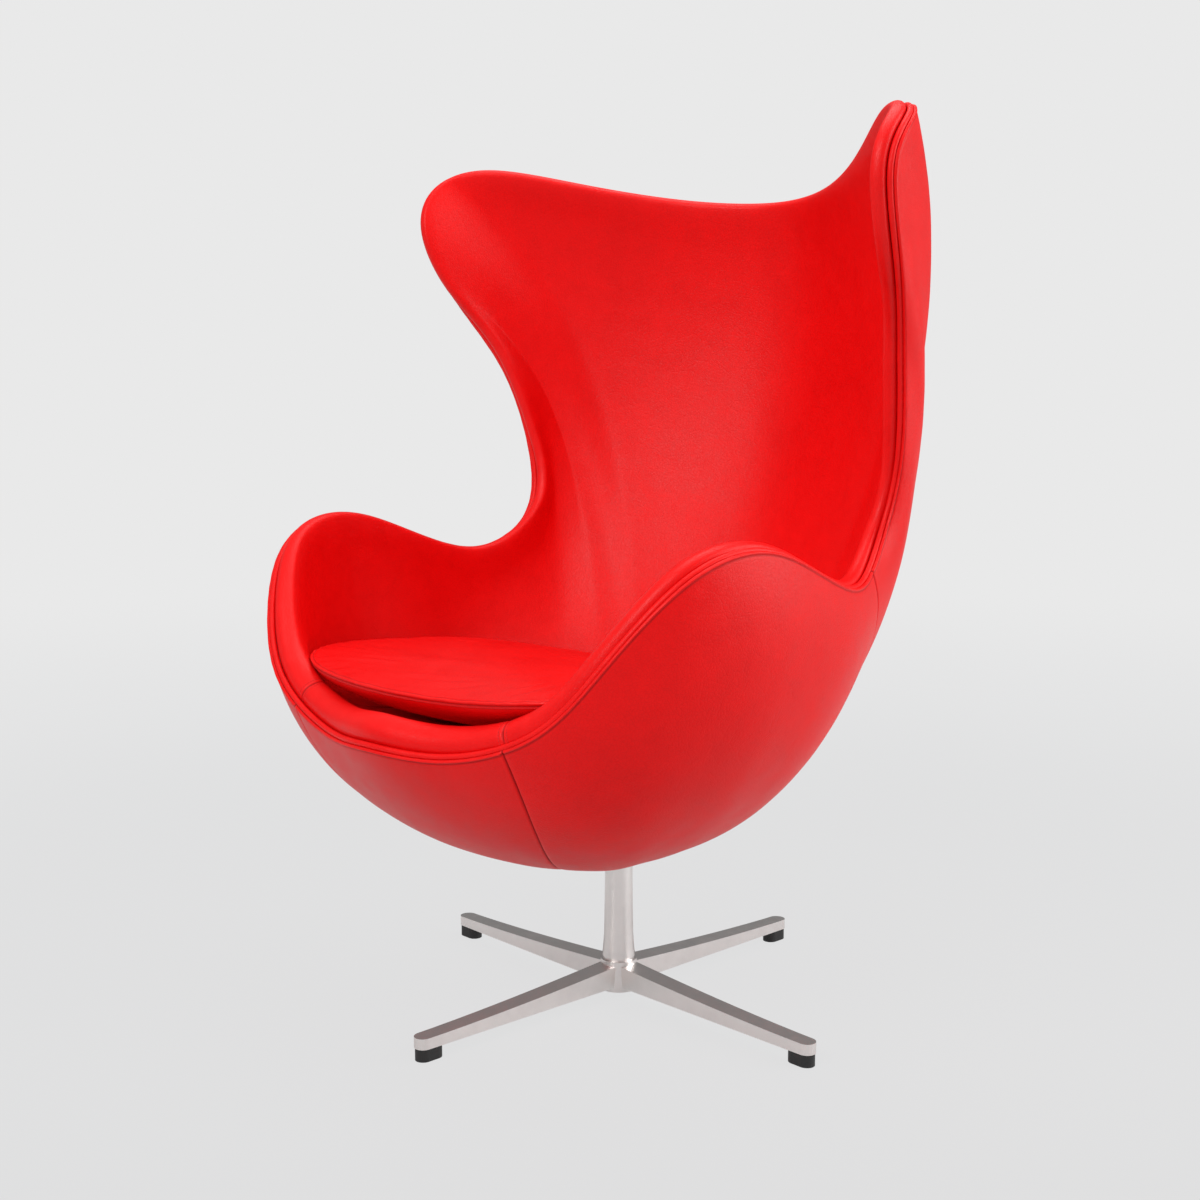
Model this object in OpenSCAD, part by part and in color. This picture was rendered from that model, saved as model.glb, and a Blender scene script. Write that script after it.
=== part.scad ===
// Winged shell lounge chair with a loose seat cushion on a four-star swivel and tilt base.
// Millimetres, +Z up, the sitter faces -Y. Every module is drawn about the swivel axis;
// the last lines move the whole chair so that its origin is the middle of its footprint.

/* [Shell outline] */
// Forward reach of the seat lip from the swivel axis
lip_reach = 395; // [370:1:420]
// Height of the seat lip at its middle
lip_height = 380; // [365:1:400]
// Half width of the rim over the arms
arm_half_width = 360; // [335:1:385]
// Height of the rim on top of the arms
arm_height = 600; // [580:1:625]
// Half width of the rim at the waist between arm and wing
waist_half_width = 305; // [285:1:325]
// Height of the lowest point of the waist
waist_height = 545; // [530:1:560]
// Half width of the wings at their widest
wing_half_width = 390; // [370:1:415]
// Height of the top of the wings
wing_height = 1070; // [1040:1:1090]
// Height of the rim at the middle of the headrest
crown_height = 1015; // [990:1:1040]
// Distance of the headrest's rim behind the swivel axis
crown_reach = 330; // [305:1:355]
// Half width of the shell's belly below the arms
belly_half_width = 395; // [375:1:415]
// Fullness of the lower back behind the swivel axis
back_fullness = 450; // [430:1:470]
// Height of the shell's underside
underside = 197; // [190:1:204]

/* [Upholstery] */
// Thickness of the leather
leather = 1.6; // [1.2:0.1:2]
// Thickness of the foam on the inside of the shell
foam = 14; // [10:1:18]
// Thickness of the shell's edge with its covers at the seat lip
lip_thickness = 48; // [42:1:54]
// Thickness of the shell's edge over the arms
arm_thickness = 30; // [27:1:34]
// Thickness of the shell's edge round the wings
wing_thickness = 27; // [25:0.5:31]
// Diameter of the leather welt round the rim
welt_d = 7.2; // [6:0.2:8]
// Height that the padded edge stands above the welt's middle at the lip
lip_crest = 18; // [12:1:20]
// Height that the padded edge stands above the welt's middle elsewhere
edge_crest = 10; // [7:1:12]
// Height of the seat floor above the swivel axis foot
floor_height = 362; // [356:1:368]
// Backward slope of the seat floor in degrees
floor_rake = 4; // [2:0.5:6]
// Gap between neighbouring layers
layer_gap = 0.3; // [0.25:0.05:0.5]

/* [Cushion] */
// Half width of the loose cushion
cushion_half_width = 276; // [262:1:284]
// Distance from the cushion's middle to its front edge
cushion_front = 242; // [225:1:246]
// Distance from the cushion's middle to its back edge
cushion_back = 228; // [215:1:232]
// Distance of the cushion's middle in front of the swivel axis
cushion_forward = 105; // [95:1:115]
// Height of the cushion's seam above the seat floor
cushion_seam_rise = 46; // [40:1:52]
// Rise of the cushion's crown above its seam
cushion_crown = 30; // [22:1:36]
// Rise of the cushion's sides, which lie against the arms
cushion_side_rise = 24; // [12:1:28]
// Depth of the cushion's belly below its seam
cushion_belly = 46; // [42:1:48]

/* [Column and swivel] */
// Diameter of the column at its top
column_d = 34; // [32:1:38]
// Diameter of the column's foot where it flares onto the hub
column_foot_d = 42; // [40:1:46]
// Height of the top of the column
column_top = 212; // [206:1:214]
// Diameter of the swivel spindle
spindle_d = 20; // [16:1:22]
// Running clearance of pins and shafts on the radius
running = 0.05; // [0.03:0.01:0.08]
// Wall of the plastic swivel bushes
bush_wall = 3; // [2:0.5:3.5]
// Length of each swivel bush
bush_length = 26; // [20:1:32]

/* [Tilt mechanism] */
// Distance of the tilt pin in front of the swivel axis
pin_forward = 24; // [20:1:28]
// Height of the tilt pin
pin_height = 272; // [268:1:276]
// Diameter of the tilt pin
pin_d = 10; // [8:1:12]
// Inside width between the ears of the lower bracket
yoke_inside = 46; // [42:1:50]
// Thickness of the pressed steel brackets
bracket_t = 5; // [4:0.5:6]
// Radius of the mechanism well in the shell
well_r = 77; // [76:0.5:79]
// Height of the roof of the mechanism well
well_roof = 318.5; // [316:0.5:321]
// Thickness of the plywood mounting block
block_t = 16; // [14:1:18]
// Distance of the tilt spring behind the swivel axis
spring_back = 36; // [34:1:38]
// Outside diameter of the tilt spring
spring_d = 30; // [26:1:32]
// Wire diameter of the tilt spring
spring_wire = 5; // [4:0.5:5.5]
// Number of turns of the tilt spring
spring_turns = 5; // [4:1:6]
// Diameter of the tension knob
knob_d = 28; // [24:1:30]
// Greatest backward tilt in degrees
tilt_max = 10; // [6:1:11]

/* [Star base] */
// Distance from the swivel axis to the middle of each glide
foot_reach = 302; // [285:1:320]
// Turn of the star against the chair's own front
leg_turn = -2; // [-45:1:45]
// Height of the hub's top face
hub_top = 47; // [44:1:52]
// Diameter of the hub
hub_d = 52; // [50:1:58]
// Height of the glides
glide_h = 14; // [12:1:16]
// Depth of a leg at its tip
leg_tip_h = 13; // [11:1:16]
// Depth of a leg where it leaves the hub
leg_root_h = 28; // [25:1:31]
// Width of a leg at its tip
leg_tip_w = 22; // [20:1:26]
// Width of a leg where it leaves the hub
leg_root_w = 28; // [26:1:32]
// Wall of the hollow leg casting
leg_wall = 4; // [3:0.5:5]

/* [Hidden] */
$fn = 64;

// Finishes of the real materials
red_leather = [0.80, 0.05, 0.06];
dark_leather = [0.62, 0.04, 0.05];
satin_aluminium = [0.74, 0.69, 0.67];
bright_steel = [0.70, 0.71, 0.73];
black_plastic = [0.06, 0.06, 0.06];
pale_foam = [0.90, 0.86, 0.70];
grey_laminate = [0.55, 0.56, 0.55];
plywood = [0.72, 0.56, 0.36];

// The swivel axis stands this far behind the middle of the footprint
footprint_shift = 16.75;

// Stations of the half rim from the middle of the lip, over arm, waist and wing, to the headrest
rim_stations = [
    [0, -lip_reach, lip_height],
    [100, 25 - lip_reach, lip_height - 5],
    [225, 45 - lip_reach, lip_height + 35],
    [arm_half_width - 70, 75 - lip_reach, lip_height + 110],
    [arm_half_width - 15, 135 - lip_reach, arm_height - 25],
    [arm_half_width, -165, arm_height],
    [arm_half_width - 5, -75, arm_height - 25],
    [(arm_half_width + waist_half_width) / 2 + 8, 15, waist_height],
    [waist_half_width + 15, 80, waist_height + 10],
    [waist_half_width, 130, waist_height + 65],
    [waist_half_width + 15, 138, waist_height + 150],
    [(waist_half_width + wing_half_width) / 2 - 8, 106, wing_height - 262],
    [wing_half_width - 15, 48, wing_height - 173],
    [wing_half_width, 5, wing_height - 73],
    [wing_half_width - 5, 55, wing_height - 20],
    [wing_half_width - 54, 100, wing_height],
    [240, crown_reach - 135, crown_height + 30],
    [125, crown_reach - 44, crown_height + 7],
    [0, crown_reach, crown_height]
];

// Stations of the belly row that pulls each meridian outwards between underside and rim
belly_stations = [
    [0, -290, underside + 38],
    [115, -290, underside + 43],
    [235, -285, underside + 58],
    [320, -255, underside + 63],
    [365, -205, underside + 88],
    [belly_half_width, -150, underside + 113],
    [belly_half_width - 5, -95, underside + 138],
    [belly_half_width - 15, -25, underside + 163],
    [belly_half_width - 40, 55, underside + 193],
    [330, 145, underside + 253],
    [310, back_fullness - 205, underside + 318],
    [290, back_fullness - 120, underside + 398],
    [280, back_fullness - 60, underside + 473],
    [265, back_fullness - 25, underside + 533],
    [245, back_fullness - 15, underside + 558],
    [210, back_fullness - 10, underside + 563],
    [155, back_fullness - 10, underside + 558],
    [80, back_fullness - 5, underside + 548],
    [0, back_fullness, underside + 543]
];

// Compass bearing at which each station's meridian leaves the underside, from the front
bearings = [0, 12, 26, 37, 46, 55, 64, 75, 87, 97, 107, 117, 127, 138, 148, 155, 162, 171, 180];
bottom_half_width = 215;
bottom_front = 215;
bottom_back = 195;
bottom_y = -10;

// Edge thickness and crest of the padded edge at each station
edge_thickness = [lip_thickness, lip_thickness, lip_thickness - 2, lip_thickness - 9, arm_thickness + 3,
    arm_thickness, arm_thickness, arm_thickness - 1, wing_thickness + 1, wing_thickness, wing_thickness,
    wing_thickness, wing_thickness, wing_thickness, wing_thickness, wing_thickness, wing_thickness + 1,
    wing_thickness + 2, wing_thickness + 2];
edge_crests = [for (i = [0:18]) i < 5 ? lip_crest + (edge_crest - lip_crest) * i / 5 : edge_crest];

LAST = len(rim_stations) - 1;
front_seam = 1.65;
front_columns = 3;
half_columns = 36;
columns = 2 * half_columns;
rear_seam_column = 16;
rows = [0.15, 0.25, 0.34, 0.44, 0.56, 0.70, 0.84, 0.95];
deck_rows = 3;
roll_angles = [0, 60, 120, 180];
seam_ease = 0.005;

// A smooth curve through stations that repeat mirrored past both ends
function mirrored(p) = [-p.x, p.y, p.z];
function station(list, i) = i < 0 ? mirrored(list[-i]) : i > LAST ? mirrored(list[2 * LAST - i]) : list[i];
function pulls(list) = [for (i = [-1:LAST + 1])
    (8 * station(list, i) - station(list, i - 1) - station(list, i + 1)) / 6];
function blend(pull, t) = let (i = min(floor(t), LAST - 1), f = t - i)
    ((1 - f) ^ 3 * pull[i] + (3 * f ^ 3 - 6 * f ^ 2 + 4) * pull[i + 1]
    + (1 + 3 * f + 3 * f ^ 2 - 3 * f ^ 3) * pull_at(pull, i + 2) + f ^ 3 * pull_at(pull, i + 3)) / 6;
function pull_at(pull, i) = i < len(pull) ? pull[i] : mirrored(pull[2 * (LAST + 1) - i]);
function along(pull, t) = t < 0 ? mirrored(blend(pull, -t))
    : t > LAST ? mirrored(blend(pull, 2 * LAST - t)) : blend(pull, t);
function ramp(list, t) = let (a = min(abs(t), LAST), i = min(floor(a), LAST - 1))
    list[i] + (list[i + 1] - list[i]) * (a - i);

rim_pulls = pulls(rim_stations);
belly_pulls = pulls(belly_stations);

function bearing(t) = t < 0 ? -bearing(-t) : t > LAST ? 360 - bearing(2 * LAST - t)
    : let (i = min(floor(t), LAST - 1), f = t - i, a = bearing_at(i - 1), b = bearings[i],
        c = bearings[i + 1], d = bearing_at(i + 2))
    b + f * (c - a) / 2 + f ^ 2 * (a - 2.5 * b + 2 * c - d / 2) + f ^ 3 * (1.5 * (b - c) + (d - a) / 2);
function bearing_at(i) = i < 0 ? -bearings[-i] : i > LAST ? 360 - bearings[2 * LAST - i] : bearings[i];

// The outer surface: each meridian runs from the underside's middle, round the belly, to the rim
bottom_middle = [0, bottom_y, underside];
function bottom_pull(t) = let (b = bearing(t))
    [bottom_half_width * sin(b), bottom_y - (cos(b) > 0 ? bottom_front : bottom_back) * cos(b), underside];
function outer(t, v) = (1 - v) ^ 3 * bottom_middle + 3 * (1 - v) ^ 2 * v * bottom_pull(t)
    + 3 * (1 - v) * v ^ 2 * along(belly_pulls, t) + v ^ 3 * along(rim_pulls, t);
function unit(p) = p / norm(p);
function inward(t, v) =
    unit(cross(outer(t, v) - outer(t, v - 0.01), outer(t + 0.02, v) - outer(t - 0.02, v)));

// Whole thickness of the shell with its covers: the edge's thickness, or down from the seat floor
function soft_max(a, b, k) = (a + b + sqrt((a - b) ^ 2 + k ^ 2)) / 2;
function floor_at(y) = floor_height - y * tan(floor_rake);
floor_rounding = 30;
function depth(t, p, n) =
    soft_max(ramp(edge_thickness, t),
        (floor_at(p.y) - p.z) / max(n.z + n.y * tan(floor_rake), 0.35), floor_rounding);

// Columns run from the middle of the lip round the right side; the left side is their mirror image
function column_t(k) = k <= front_columns ? front_seam * k / front_columns
    : front_seam + (LAST - front_seam) * (k - front_columns) / (half_columns - front_columns);

// Below the waist and wings the columns lean back, so that they meet the rim squarely
lean = 3.5;
function smooth_step(x) = let (c = max(0, min(1, x))) c * c * (3 - 2 * c);
function leaning(t, v) =
    t + lean * (1 - v) * smooth_step((t - 3) / 5) * (1 - smooth_step((t - 11) / (LAST - 11)));

grid = [for (k = [0:half_columns])
    [for (v = rows) let (t = leaning(column_t(k), v), p = outer(t, v), n = inward(t, v))
        [p, n, depth(t, p, n)]]];
rim_frames = [for (k = [0:half_columns]) let (t = column_t(k), p = outer(t, 1), n = inward(t, 1),
    w = unit(outer(t + 0.02, 1) - outer(t - 0.02, 1))) [p, n, unit(cross(w, n)), ramp(edge_thickness, t),
    ramp(edge_crests, t)]];
pole_depth = floor_at(bottom_y) - underside + 1.5;

function half_column(j) = j <= half_columns ? j : columns - j;
function on_side(j, p) = j <= half_columns ? p : mirrored(p);
function skin_row(i, d) = [for (j = [0:columns - 1]) let (g = grid[half_column(j)][i])
    on_side(j, g[0] + g[1] * d)];
function lining_row(i, d) = [for (j = [0:columns - 1]) let (g = grid[half_column(j)][i])
    on_side(j, g[0] + g[1] * (g[2] - d))];
function rim_row(d, drop) = [for (j = [0:columns - 1]) let (f = rim_frames[half_column(j)])
    on_side(j, f[0] + f[1] * d - f[2] * drop)];

// The groove beside the rim holds the welt; the padded roll starts just inside it
welt_inset = leather + layer_gap + welt_d / 2;
roll_inset = welt_inset + welt_d / 2 + layer_gap;
function roll_row(angle, shrink) = [for (j = [0:columns - 1]) let (f = rim_frames[half_column(j)],
    r = (f[3] - roll_inset) / 2, rise = f[4] - r)
    on_side(j, f[0] + f[1] * (roll_inset + r + (r - shrink) * cos(angle))
        + f[2] * (rise + (r - shrink) * sin(angle)))];
core_inset = roll_inset - layer_gap;

// Two triangles for a patch a, b, c, d; layers that lie on each other are cut along the same diagonal
function patch(other, a, b, c, d) = other ? [[a, d, b], [d, c, b]] : [[a, d, c], [a, c, b]];
function other_way(i, fold, left) = (i < fold) != left;

// Builds a closed solid from rings that run from a low middle point out to the fold and back in
module ring_stack(low, rings, high, fold) {
    n = len(rings[0]);
    m = len(rings);
    top = n * m + 1;
    polyhedron(
        points = concat([low], [for (r = rings) each r], [high]),
        faces = concat(
            [for (j = [0:n - 1]) [0, 1 + j, 1 + (j + 1) % n]],
            [for (i = [0:m - 2], j = [0:n - 1]) let (a = 1 + i * n + j, b = 1 + i * n + (j + 1) % n)
                each patch(other_way(i, fold, j >= n / 2), a, b, b + n, a + n)],
            [for (j = [0:n - 1]) [top, 1 + (m - 1) * n + (j + 1) % n, 1 + (m - 1) * n + j]]));
}

// Builds a closed hoop from rings that return to the first one
module ring_loop(rings) {
    n = len(rings[0]);
    m = len(rings);
    polyhedron(
        points = [for (r = rings) each r],
        faces = [for (i = [0:m - 1], j = [0:n - 1])
            let (a = i * n + j, b = i * n + (j + 1) % n,
                c = (i + 1) % m * n + (j + 1) % n, d = (i + 1) % m * n + j)
            each patch(j >= n / 2, a, b, c, d)]);
}

// Builds a panel between two columns from back rows and front rows of equal number
module panel(back, front, from, to) {
    path = concat(back, [for (i = [len(front) - 1:-1:0]) front[i]]);
    m = len(path);
    n = to - from + 1;
    function column(j) = (from + j + columns) % columns;
    function plain(i, j) = path[i][column(j)];
    function eased(i, j) = j == 0 ? plain(i, 0) + (plain(i, 1) - plain(i, 0)) * seam_ease
        : j == n - 1 ? plain(i, j) + (plain(i, j - 1) - plain(i, j)) * seam_ease : plain(i, j);
    polyhedron(
        points = [for (i = [0:m - 1], j = [0:n - 1]) eased(i, j)],
        faces = concat(
            [for (i = [0:m - 1], j = [0:n - 2]) let (a = i * n + j, d = (i + 1) % m * n + j)
                each patch(other_way(i, m / 2, column(j) >= half_columns), a, a + 1, d + 1, d)],
            [for (i = [0:m / 2 - 2]) let (a = i * n, b = (m - 1 - i) * n)
                each [[a + n, a, b], [a + n, b, b - n]]],
            [for (i = [0:m / 2 - 2]) let (a = i * n + n - 1, b = (m - 1 - i) * n + n - 1)
                each [[a, a + n, b], [a + n, b - n, b]]]));
}

// Rigid moulding inside the shell, with a well for the mechanism in its underside
module core_form() {
    skin = leather + layer_gap;
    lining = leather + foam + 3 * layer_gap;
    drop = welt_d / 2 + layer_gap;
    bevel = skin + 1.2;
    last = len(rows) - 1;
    ring_stack(
        [0, bottom_y, well_roof],
        concat(
            [[for (j = [0:columns - 1]) let (a = 360 * j / columns)
                [well_r * sin(a), -well_r * cos(a), well_roof]]],
            [for (i = [0:last]) skin_row(i, skin)],
            [rim_row(bevel, drop), rim_row(core_inset, drop), skin_row(last, core_inset)],
            [for (i = [last - 1:-1:1]) lining_row(i, lining)]),
        bottom_middle + [0, 0, pole_depth - lining], last + 2);
}

// The moulding is made in two parts, glued together level with the seat bracket's plate
module all_below(z) {
    side = 4 * wing_half_width;
    translate([-side / 2, -side / 2, z - side]) cube(side);
}

// Lower part: a thick ring round the mechanism well
module shell_foot() {
    color(grey_laminate)
    intersection() {
        core_form();
        all_below(split_z);
    }
}

// Upper part: seat, arms and back in one piece
module shell_core() {
    color(grey_laminate)
    difference() {
        core_form();
        all_below(split_z + glue);
    }
}

// Foam glued to the inside of the core and rolled over its edge
module foam_padding() {
    near = leather + layer_gap;
    far = near + foam;
    last = len(rows) - 1;
    color(pale_foam)
    ring_stack(
        bottom_middle + [0, 0, pole_depth - far],
        concat(
            [for (i = [1:last - 1]) lining_row(i, far)],
            [skin_row(last, roll_inset)],
            [for (k = [3:-1:0]) roll_row(roll_angles[k], near)],
            [for (i = [last:-1:1]) lining_row(i, near)]),
        bottom_middle + [0, 0, pole_depth - near], last);
}

// Plain lining in the middle of the seat under the cushion
module seat_deck() {
    color(dark_leather)
    ring_stack(
        bottom_middle + [0, 0, pole_depth - leather],
        concat(
            [for (i = [1:deck_rows - 1]) lining_row(i, leather)],
            [for (i = [deck_rows - 1:-1:1]) lining_row(i, 0)]),
        bottom_middle + [0, 0, pole_depth], deck_rows - 1);
}

function eased_row(rowa, rowb) = [for (j = [0:columns - 1]) rowa[j] + (rowb[j] - rowa[j]) * seam_ease];
function inner_rows(shrink) = concat(
    [eased_row(lining_row(deck_rows - 1, shrink), lining_row(deck_rows, shrink))],
    [for (i = [deck_rows:len(rows) - 1]) lining_row(i, shrink)],
    [for (a = roll_angles) roll_row(a, shrink)]);
function outer_rows(d) = concat([for (i = [0:len(rows) - 1]) skin_row(i, d)], [rim_row(d, 0)]);

module inner_cover(from, to) {
    color(red_leather) panel(inner_rows(leather), inner_rows(0), from, to);
}

module outer_cover(from, to) {
    color(red_leather) panel(outer_rows(0), outer_rows(leather), from, to);
}

module inner_front_cover() { inner_cover(-front_columns, front_columns); }
module inner_back_cover() { inner_cover(front_columns, columns - front_columns); }
module outer_front_cover() { outer_cover(-front_columns, front_columns); }
module outer_side_cover_right() { outer_cover(front_columns, rear_seam_column); }
module outer_side_cover_left() { outer_cover(columns - rear_seam_column, columns - front_columns); }
module outer_back_cover() { outer_cover(rear_seam_column, columns - rear_seam_column); }

// Leather cord sewn between the inner and outer covers
module rim_welt() {
    sides = 6;
    color(dark_leather)
    ring_loop([for (k = [0:sides - 1]) let (a = 360 * k / sides)
        rim_row(welt_inset - welt_d / 2 * cos(a), -welt_d / 2 * sin(a))]);
}

// Pressed ring that finishes the leather round the well
module underside_trim() {
    trim_t = 1.5;
    low = layer_gap + trim_t;
    lip = [for (j = [0:columns - 1])
        let (g = grid[half_column(j)], p = g[0][0] + (g[1][0] - g[0][0]) * 0.14)
        on_side(j, p)];
    edge = skin_row(0, -layer_gap);
    color(black_plastic)
    ring_loop([
        [for (j = [0:columns - 1]) lip[j] - [0, 0, low]],
        [for (j = [0:columns - 1]) lip[j] - [0, 0, layer_gap]],
        [for (j = [0:columns - 1]) edge[j]],
        [for (j = [0:columns - 1]) edge[j] - [0, 0, trim_t]]]);
}

// Loose cushion: outline and cross-section
cushion_around = 48;
cushion_rings = [0.30, 0.58, 0.80, 0.93, 1];
front_power = 3.4;
back_power = 2.3;
function corner(c, power) = sign(c) * abs(c) ^ (2 / power);
function cushion_point(a, share, z) = let (power = cos(a) > 0 ? front_power : back_power,
    side = share * corner(sin(a), power),
    y = -cushion_forward - (cos(a) > 0 ? cushion_front : cushion_back) * share * corner(cos(a), power))
    [cushion_half_width * side, y, floor_at(y) + z + cushion_side_rise * side * side];
function bulge(share) = (1 - share ^ 2.6) ^ 0.5;
rest_gap = 2.5;
function top_height(share, inset) = cushion_seam_rise + (cushion_crown - inset) * bulge(share);
function bottom_height(share, inset) =
    max(cushion_seam_rise - (cushion_belly - inset) * bulge(share), rest_gap + inset);
function cushion_ring(share, z) = [for (j = [0:cushion_around - 1])
    cushion_point(360 * j / cushion_around, share, z)];
cover_share = 1 - leather / cushion_half_width;
core_share = 1 - (leather + layer_gap) / cushion_half_width;
seam_half_gap = 0.15;

module cushion_top() {
    inner = leather;
    color(red_leather)
    ring_stack(
        cushion_point(0, 0, top_height(0, inner)),
        concat(
            [for (s = cushion_rings) cushion_ring(s * cover_share, top_height(s, inner) + seam_half_gap)],
            [for (k = [4:-1:0])
                cushion_ring(cushion_rings[k], top_height(cushion_rings[k], 0) + seam_half_gap)]),
        cushion_point(0, 0, top_height(0, 0)), 5);
}

module cushion_bottom() {
    inner = leather;
    color(dark_leather)
    ring_stack(
        cushion_point(0, 0, bottom_height(0, 0)),
        concat(
            [for (s = cushion_rings) cushion_ring(s, bottom_height(s, 0) - seam_half_gap)],
            [for (k = [4:-1:0]) cushion_ring(cushion_rings[k] * cover_share,
                bottom_height(cushion_rings[k], inner) - seam_half_gap)]),
        cushion_point(0, 0, bottom_height(0, inner)), 5);
}

module cushion_core() {
    inner = leather + layer_gap;
    color(pale_foam)
    ring_stack(
        cushion_point(0, 0, bottom_height(0, inner)),
        concat(
            [for (s = cushion_rings) if (s < 1) cushion_ring(s * core_share, bottom_height(s, inner))],
            [cushion_ring(core_share, cushion_seam_rise)],
            [for (k = [3:-1:0])
                cushion_ring(cushion_rings[k] * core_share, top_height(cushion_rings[k], inner))]),
        cushion_point(0, 0, top_height(0, inner)), 5);
}

// Star base: hollow tapered legs cast in one with the hub
leg_bottom = glide_h + 1;
hub_bottom = 9;
pad_l = 34;
leg_end = foot_reach + pad_l / 2 + 1;
bolt_d = 14;
socket_floor = hub_top - 14;

module leg_plan(inset) {
    root = leg_root_w / 2 - inset;
    tip = leg_tip_w / 2 - inset;
    polygon([[0, -root], [hub_d / 2, -root],
        [leg_end - leg_tip_w / 2, -tip], [leg_end - leg_tip_w / 2, tip],
        [hub_d / 2, root], [0, root]]);
    translate([leg_end - leg_tip_w / 2, 0]) circle(r = tip);
}

leg_steps = 10;
function leg_height(x) = leg_tip_h + (leg_root_h - leg_tip_h) * (1 - x / leg_end) ^ 1.6;
module leg_side(inset) {
    polygon(concat([[leg_end, leg_bottom], [0, leg_bottom]],
        [for (k = [0:leg_steps]) let (x = leg_end * k / leg_steps)
            [x, leg_bottom + leg_height(x) - inset]]));
}

module leg_blank(inset, from) {
    intersection() {
        translate([0, 0, from]) linear_extrude(hub_top) leg_plan(inset);
        rotate([90, 0, 0]) linear_extrude(2 * leg_root_w, center = true) leg_side(inset);
    }
}

module leg() {
    screw_hole_d = 4.2;
    difference() {
        union() {
            difference() {
                leg_blank(0, 0);
                translate([0, 0, -0.5])
                intersection() {
                    leg_blank(leg_wall, 0);
                    translate([hub_d / 2 + 6, -leg_root_w, 0])
                        cube([foot_reach - hub_d / 2 - 20, 2 * leg_root_w, hub_top]);
                }
            }
            translate([170, -leg_root_w / 2 + 3, leg_bottom]) cube([3, leg_root_w - 6, leg_tip_h - 2]);
        }
        translate([foot_reach, 0, leg_bottom - 1]) cylinder(d = screw_hole_d, h = leg_tip_h - 2);
    }
}

module star_base() {
    color(satin_aluminium)
    difference() {
        union() {
            for (k = [0:3]) rotate([0, 0, 90 * k + leg_turn]) leg();
            translate([0, 0, hub_bottom]) cylinder(d1 = hub_d, d2 = hub_d - 6, h = hub_top - hub_bottom);
        }
        translate([0, 0, socket_floor]) cylinder(d = column_foot_d - 6 + 2 * running, h = 30);
        translate([0, 0, hub_bottom - 1]) cylinder(d = bolt_d + 1, h = hub_top);
        translate([0, 0, hub_bottom - 1]) cylinder(d = 30, h = 9);
    }
}

module glides() {
    pad_w = 20;
    color(black_plastic)
    for (k = [0:3]) rotate([0, 0, 90 * k + leg_turn]) translate([foot_reach, 0, 0])
    difference() {
        union() {
            linear_extrude(glide_h) pad_outline(pad_l, pad_w);
            translate([0, 0, glide_h]) linear_extrude(1) pad_outline(pad_l - 3, pad_w - 3);
        }
        translate([0, 0, 5]) cylinder(d = 4.6, h = 20);
        translate([0, 0, -1]) cylinder(d = 9.4, h = 7);
    }
}

module pad_outline(l, w) {
    for (s = [-1, 1]) translate([s * (l - w) / 2, 0]) circle(d = w);
    square([l - w, w], center = true);
}

module glide_screws() {
    color(bright_steel)
    for (k = [0:3]) rotate([0, 0, 90 * k + leg_turn]) translate([foot_reach, 0, 0]) {
        translate([0, 0, 3]) cylinder(d = 8.6, h = 2.6);
        translate([0, 0, 5.6]) cylinder(d = 4, h = leg_bottom - 5.6 + leg_tip_h - 5);
    }
}

// Column: tapered tube with a flared foot, open inside for the spindle and its bushes
tube_bore_r = spindle_d / 2 + bush_wall + 2 * running;
spigot_d = column_foot_d - 6;
module column_tube() {
    color(satin_aluminium)
    rotate_extrude()
    polygon([[tube_bore_r, socket_floor + 10], [tube_bore_r, column_top], [column_d / 2 - 1, column_top],
        [column_d / 2, column_top - 1], [column_d / 2 + 0.8, 130], [column_d / 2 + 1.6, 80],
        [column_foot_d / 2 - 1, 60], [column_foot_d / 2, hub_top + 4], [spigot_d / 2 - 1.5, hub_top + 4],
        [spigot_d / 2 - 1.5, hub_top], [spigot_d / 2, hub_top], [spigot_d / 2, socket_floor],
        [6, socket_floor], [6, socket_floor + 10]]);
}

// Black ring that shows as the shadow line between column and hub
module hub_ring() {
    color(black_plastic)
    translate([0, 0, hub_top + running])
    difference() {
        cylinder(d = column_foot_d - 2, h = 4 - 2 * running);
        translate([0, 0, -1]) cylinder(d = spigot_d - 3 + 2 * running, h = 6);
    }
}

// The bolt that holds the column is cut into a nut and a washer below the hub, on a stud of the column
module hub_washer() {
    color(bright_steel)
    translate([0, 0, hub_bottom + 6])
    difference() {
        cylinder(d = 28, h = 2);
        translate([0, 0, -1]) cylinder(d = 13, h = 4);
    }
}

module hub_nut() {
    color(bright_steel) {
        translate([0, 0, hub_bottom + 0.6]) cylinder(d = 21, h = 5.4, $fn = 6);
        translate([0, 0, hub_bottom + 3])
            cylinder(d = 12 - 2 * running, h = socket_floor + 13 - hub_bottom - 3);
        translate([0, 0, socket_floor + 10]) cylinder(d = 18, h = 6);
    }
}

// Swivel bushes pressed into the column's bore
module bush(from) {
    difference() {
        translate([0, 0, from]) cylinder(r = tube_bore_r - running, h = bush_length);
        translate([0, 0, from - 1]) cylinder(r = spindle_d / 2 + running, h = bush_length + 2);
    }
}

spindle_foot = 66;
module lower_bush() { color(black_plastic) bush(spindle_foot + 8); }
module upper_bush() { color(black_plastic) bush(column_top - bush_length); }

washer_t = 2.5;
module thrust_washer() {
    color(black_plastic)
    difference() {
        translate([0, 0, column_top]) cylinder(d = column_d - 2, h = washer_t);
        translate([0, 0, column_top - 1]) cylinder(r = spindle_d / 2 + running, h = washer_t + 2);
    }
}

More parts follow.
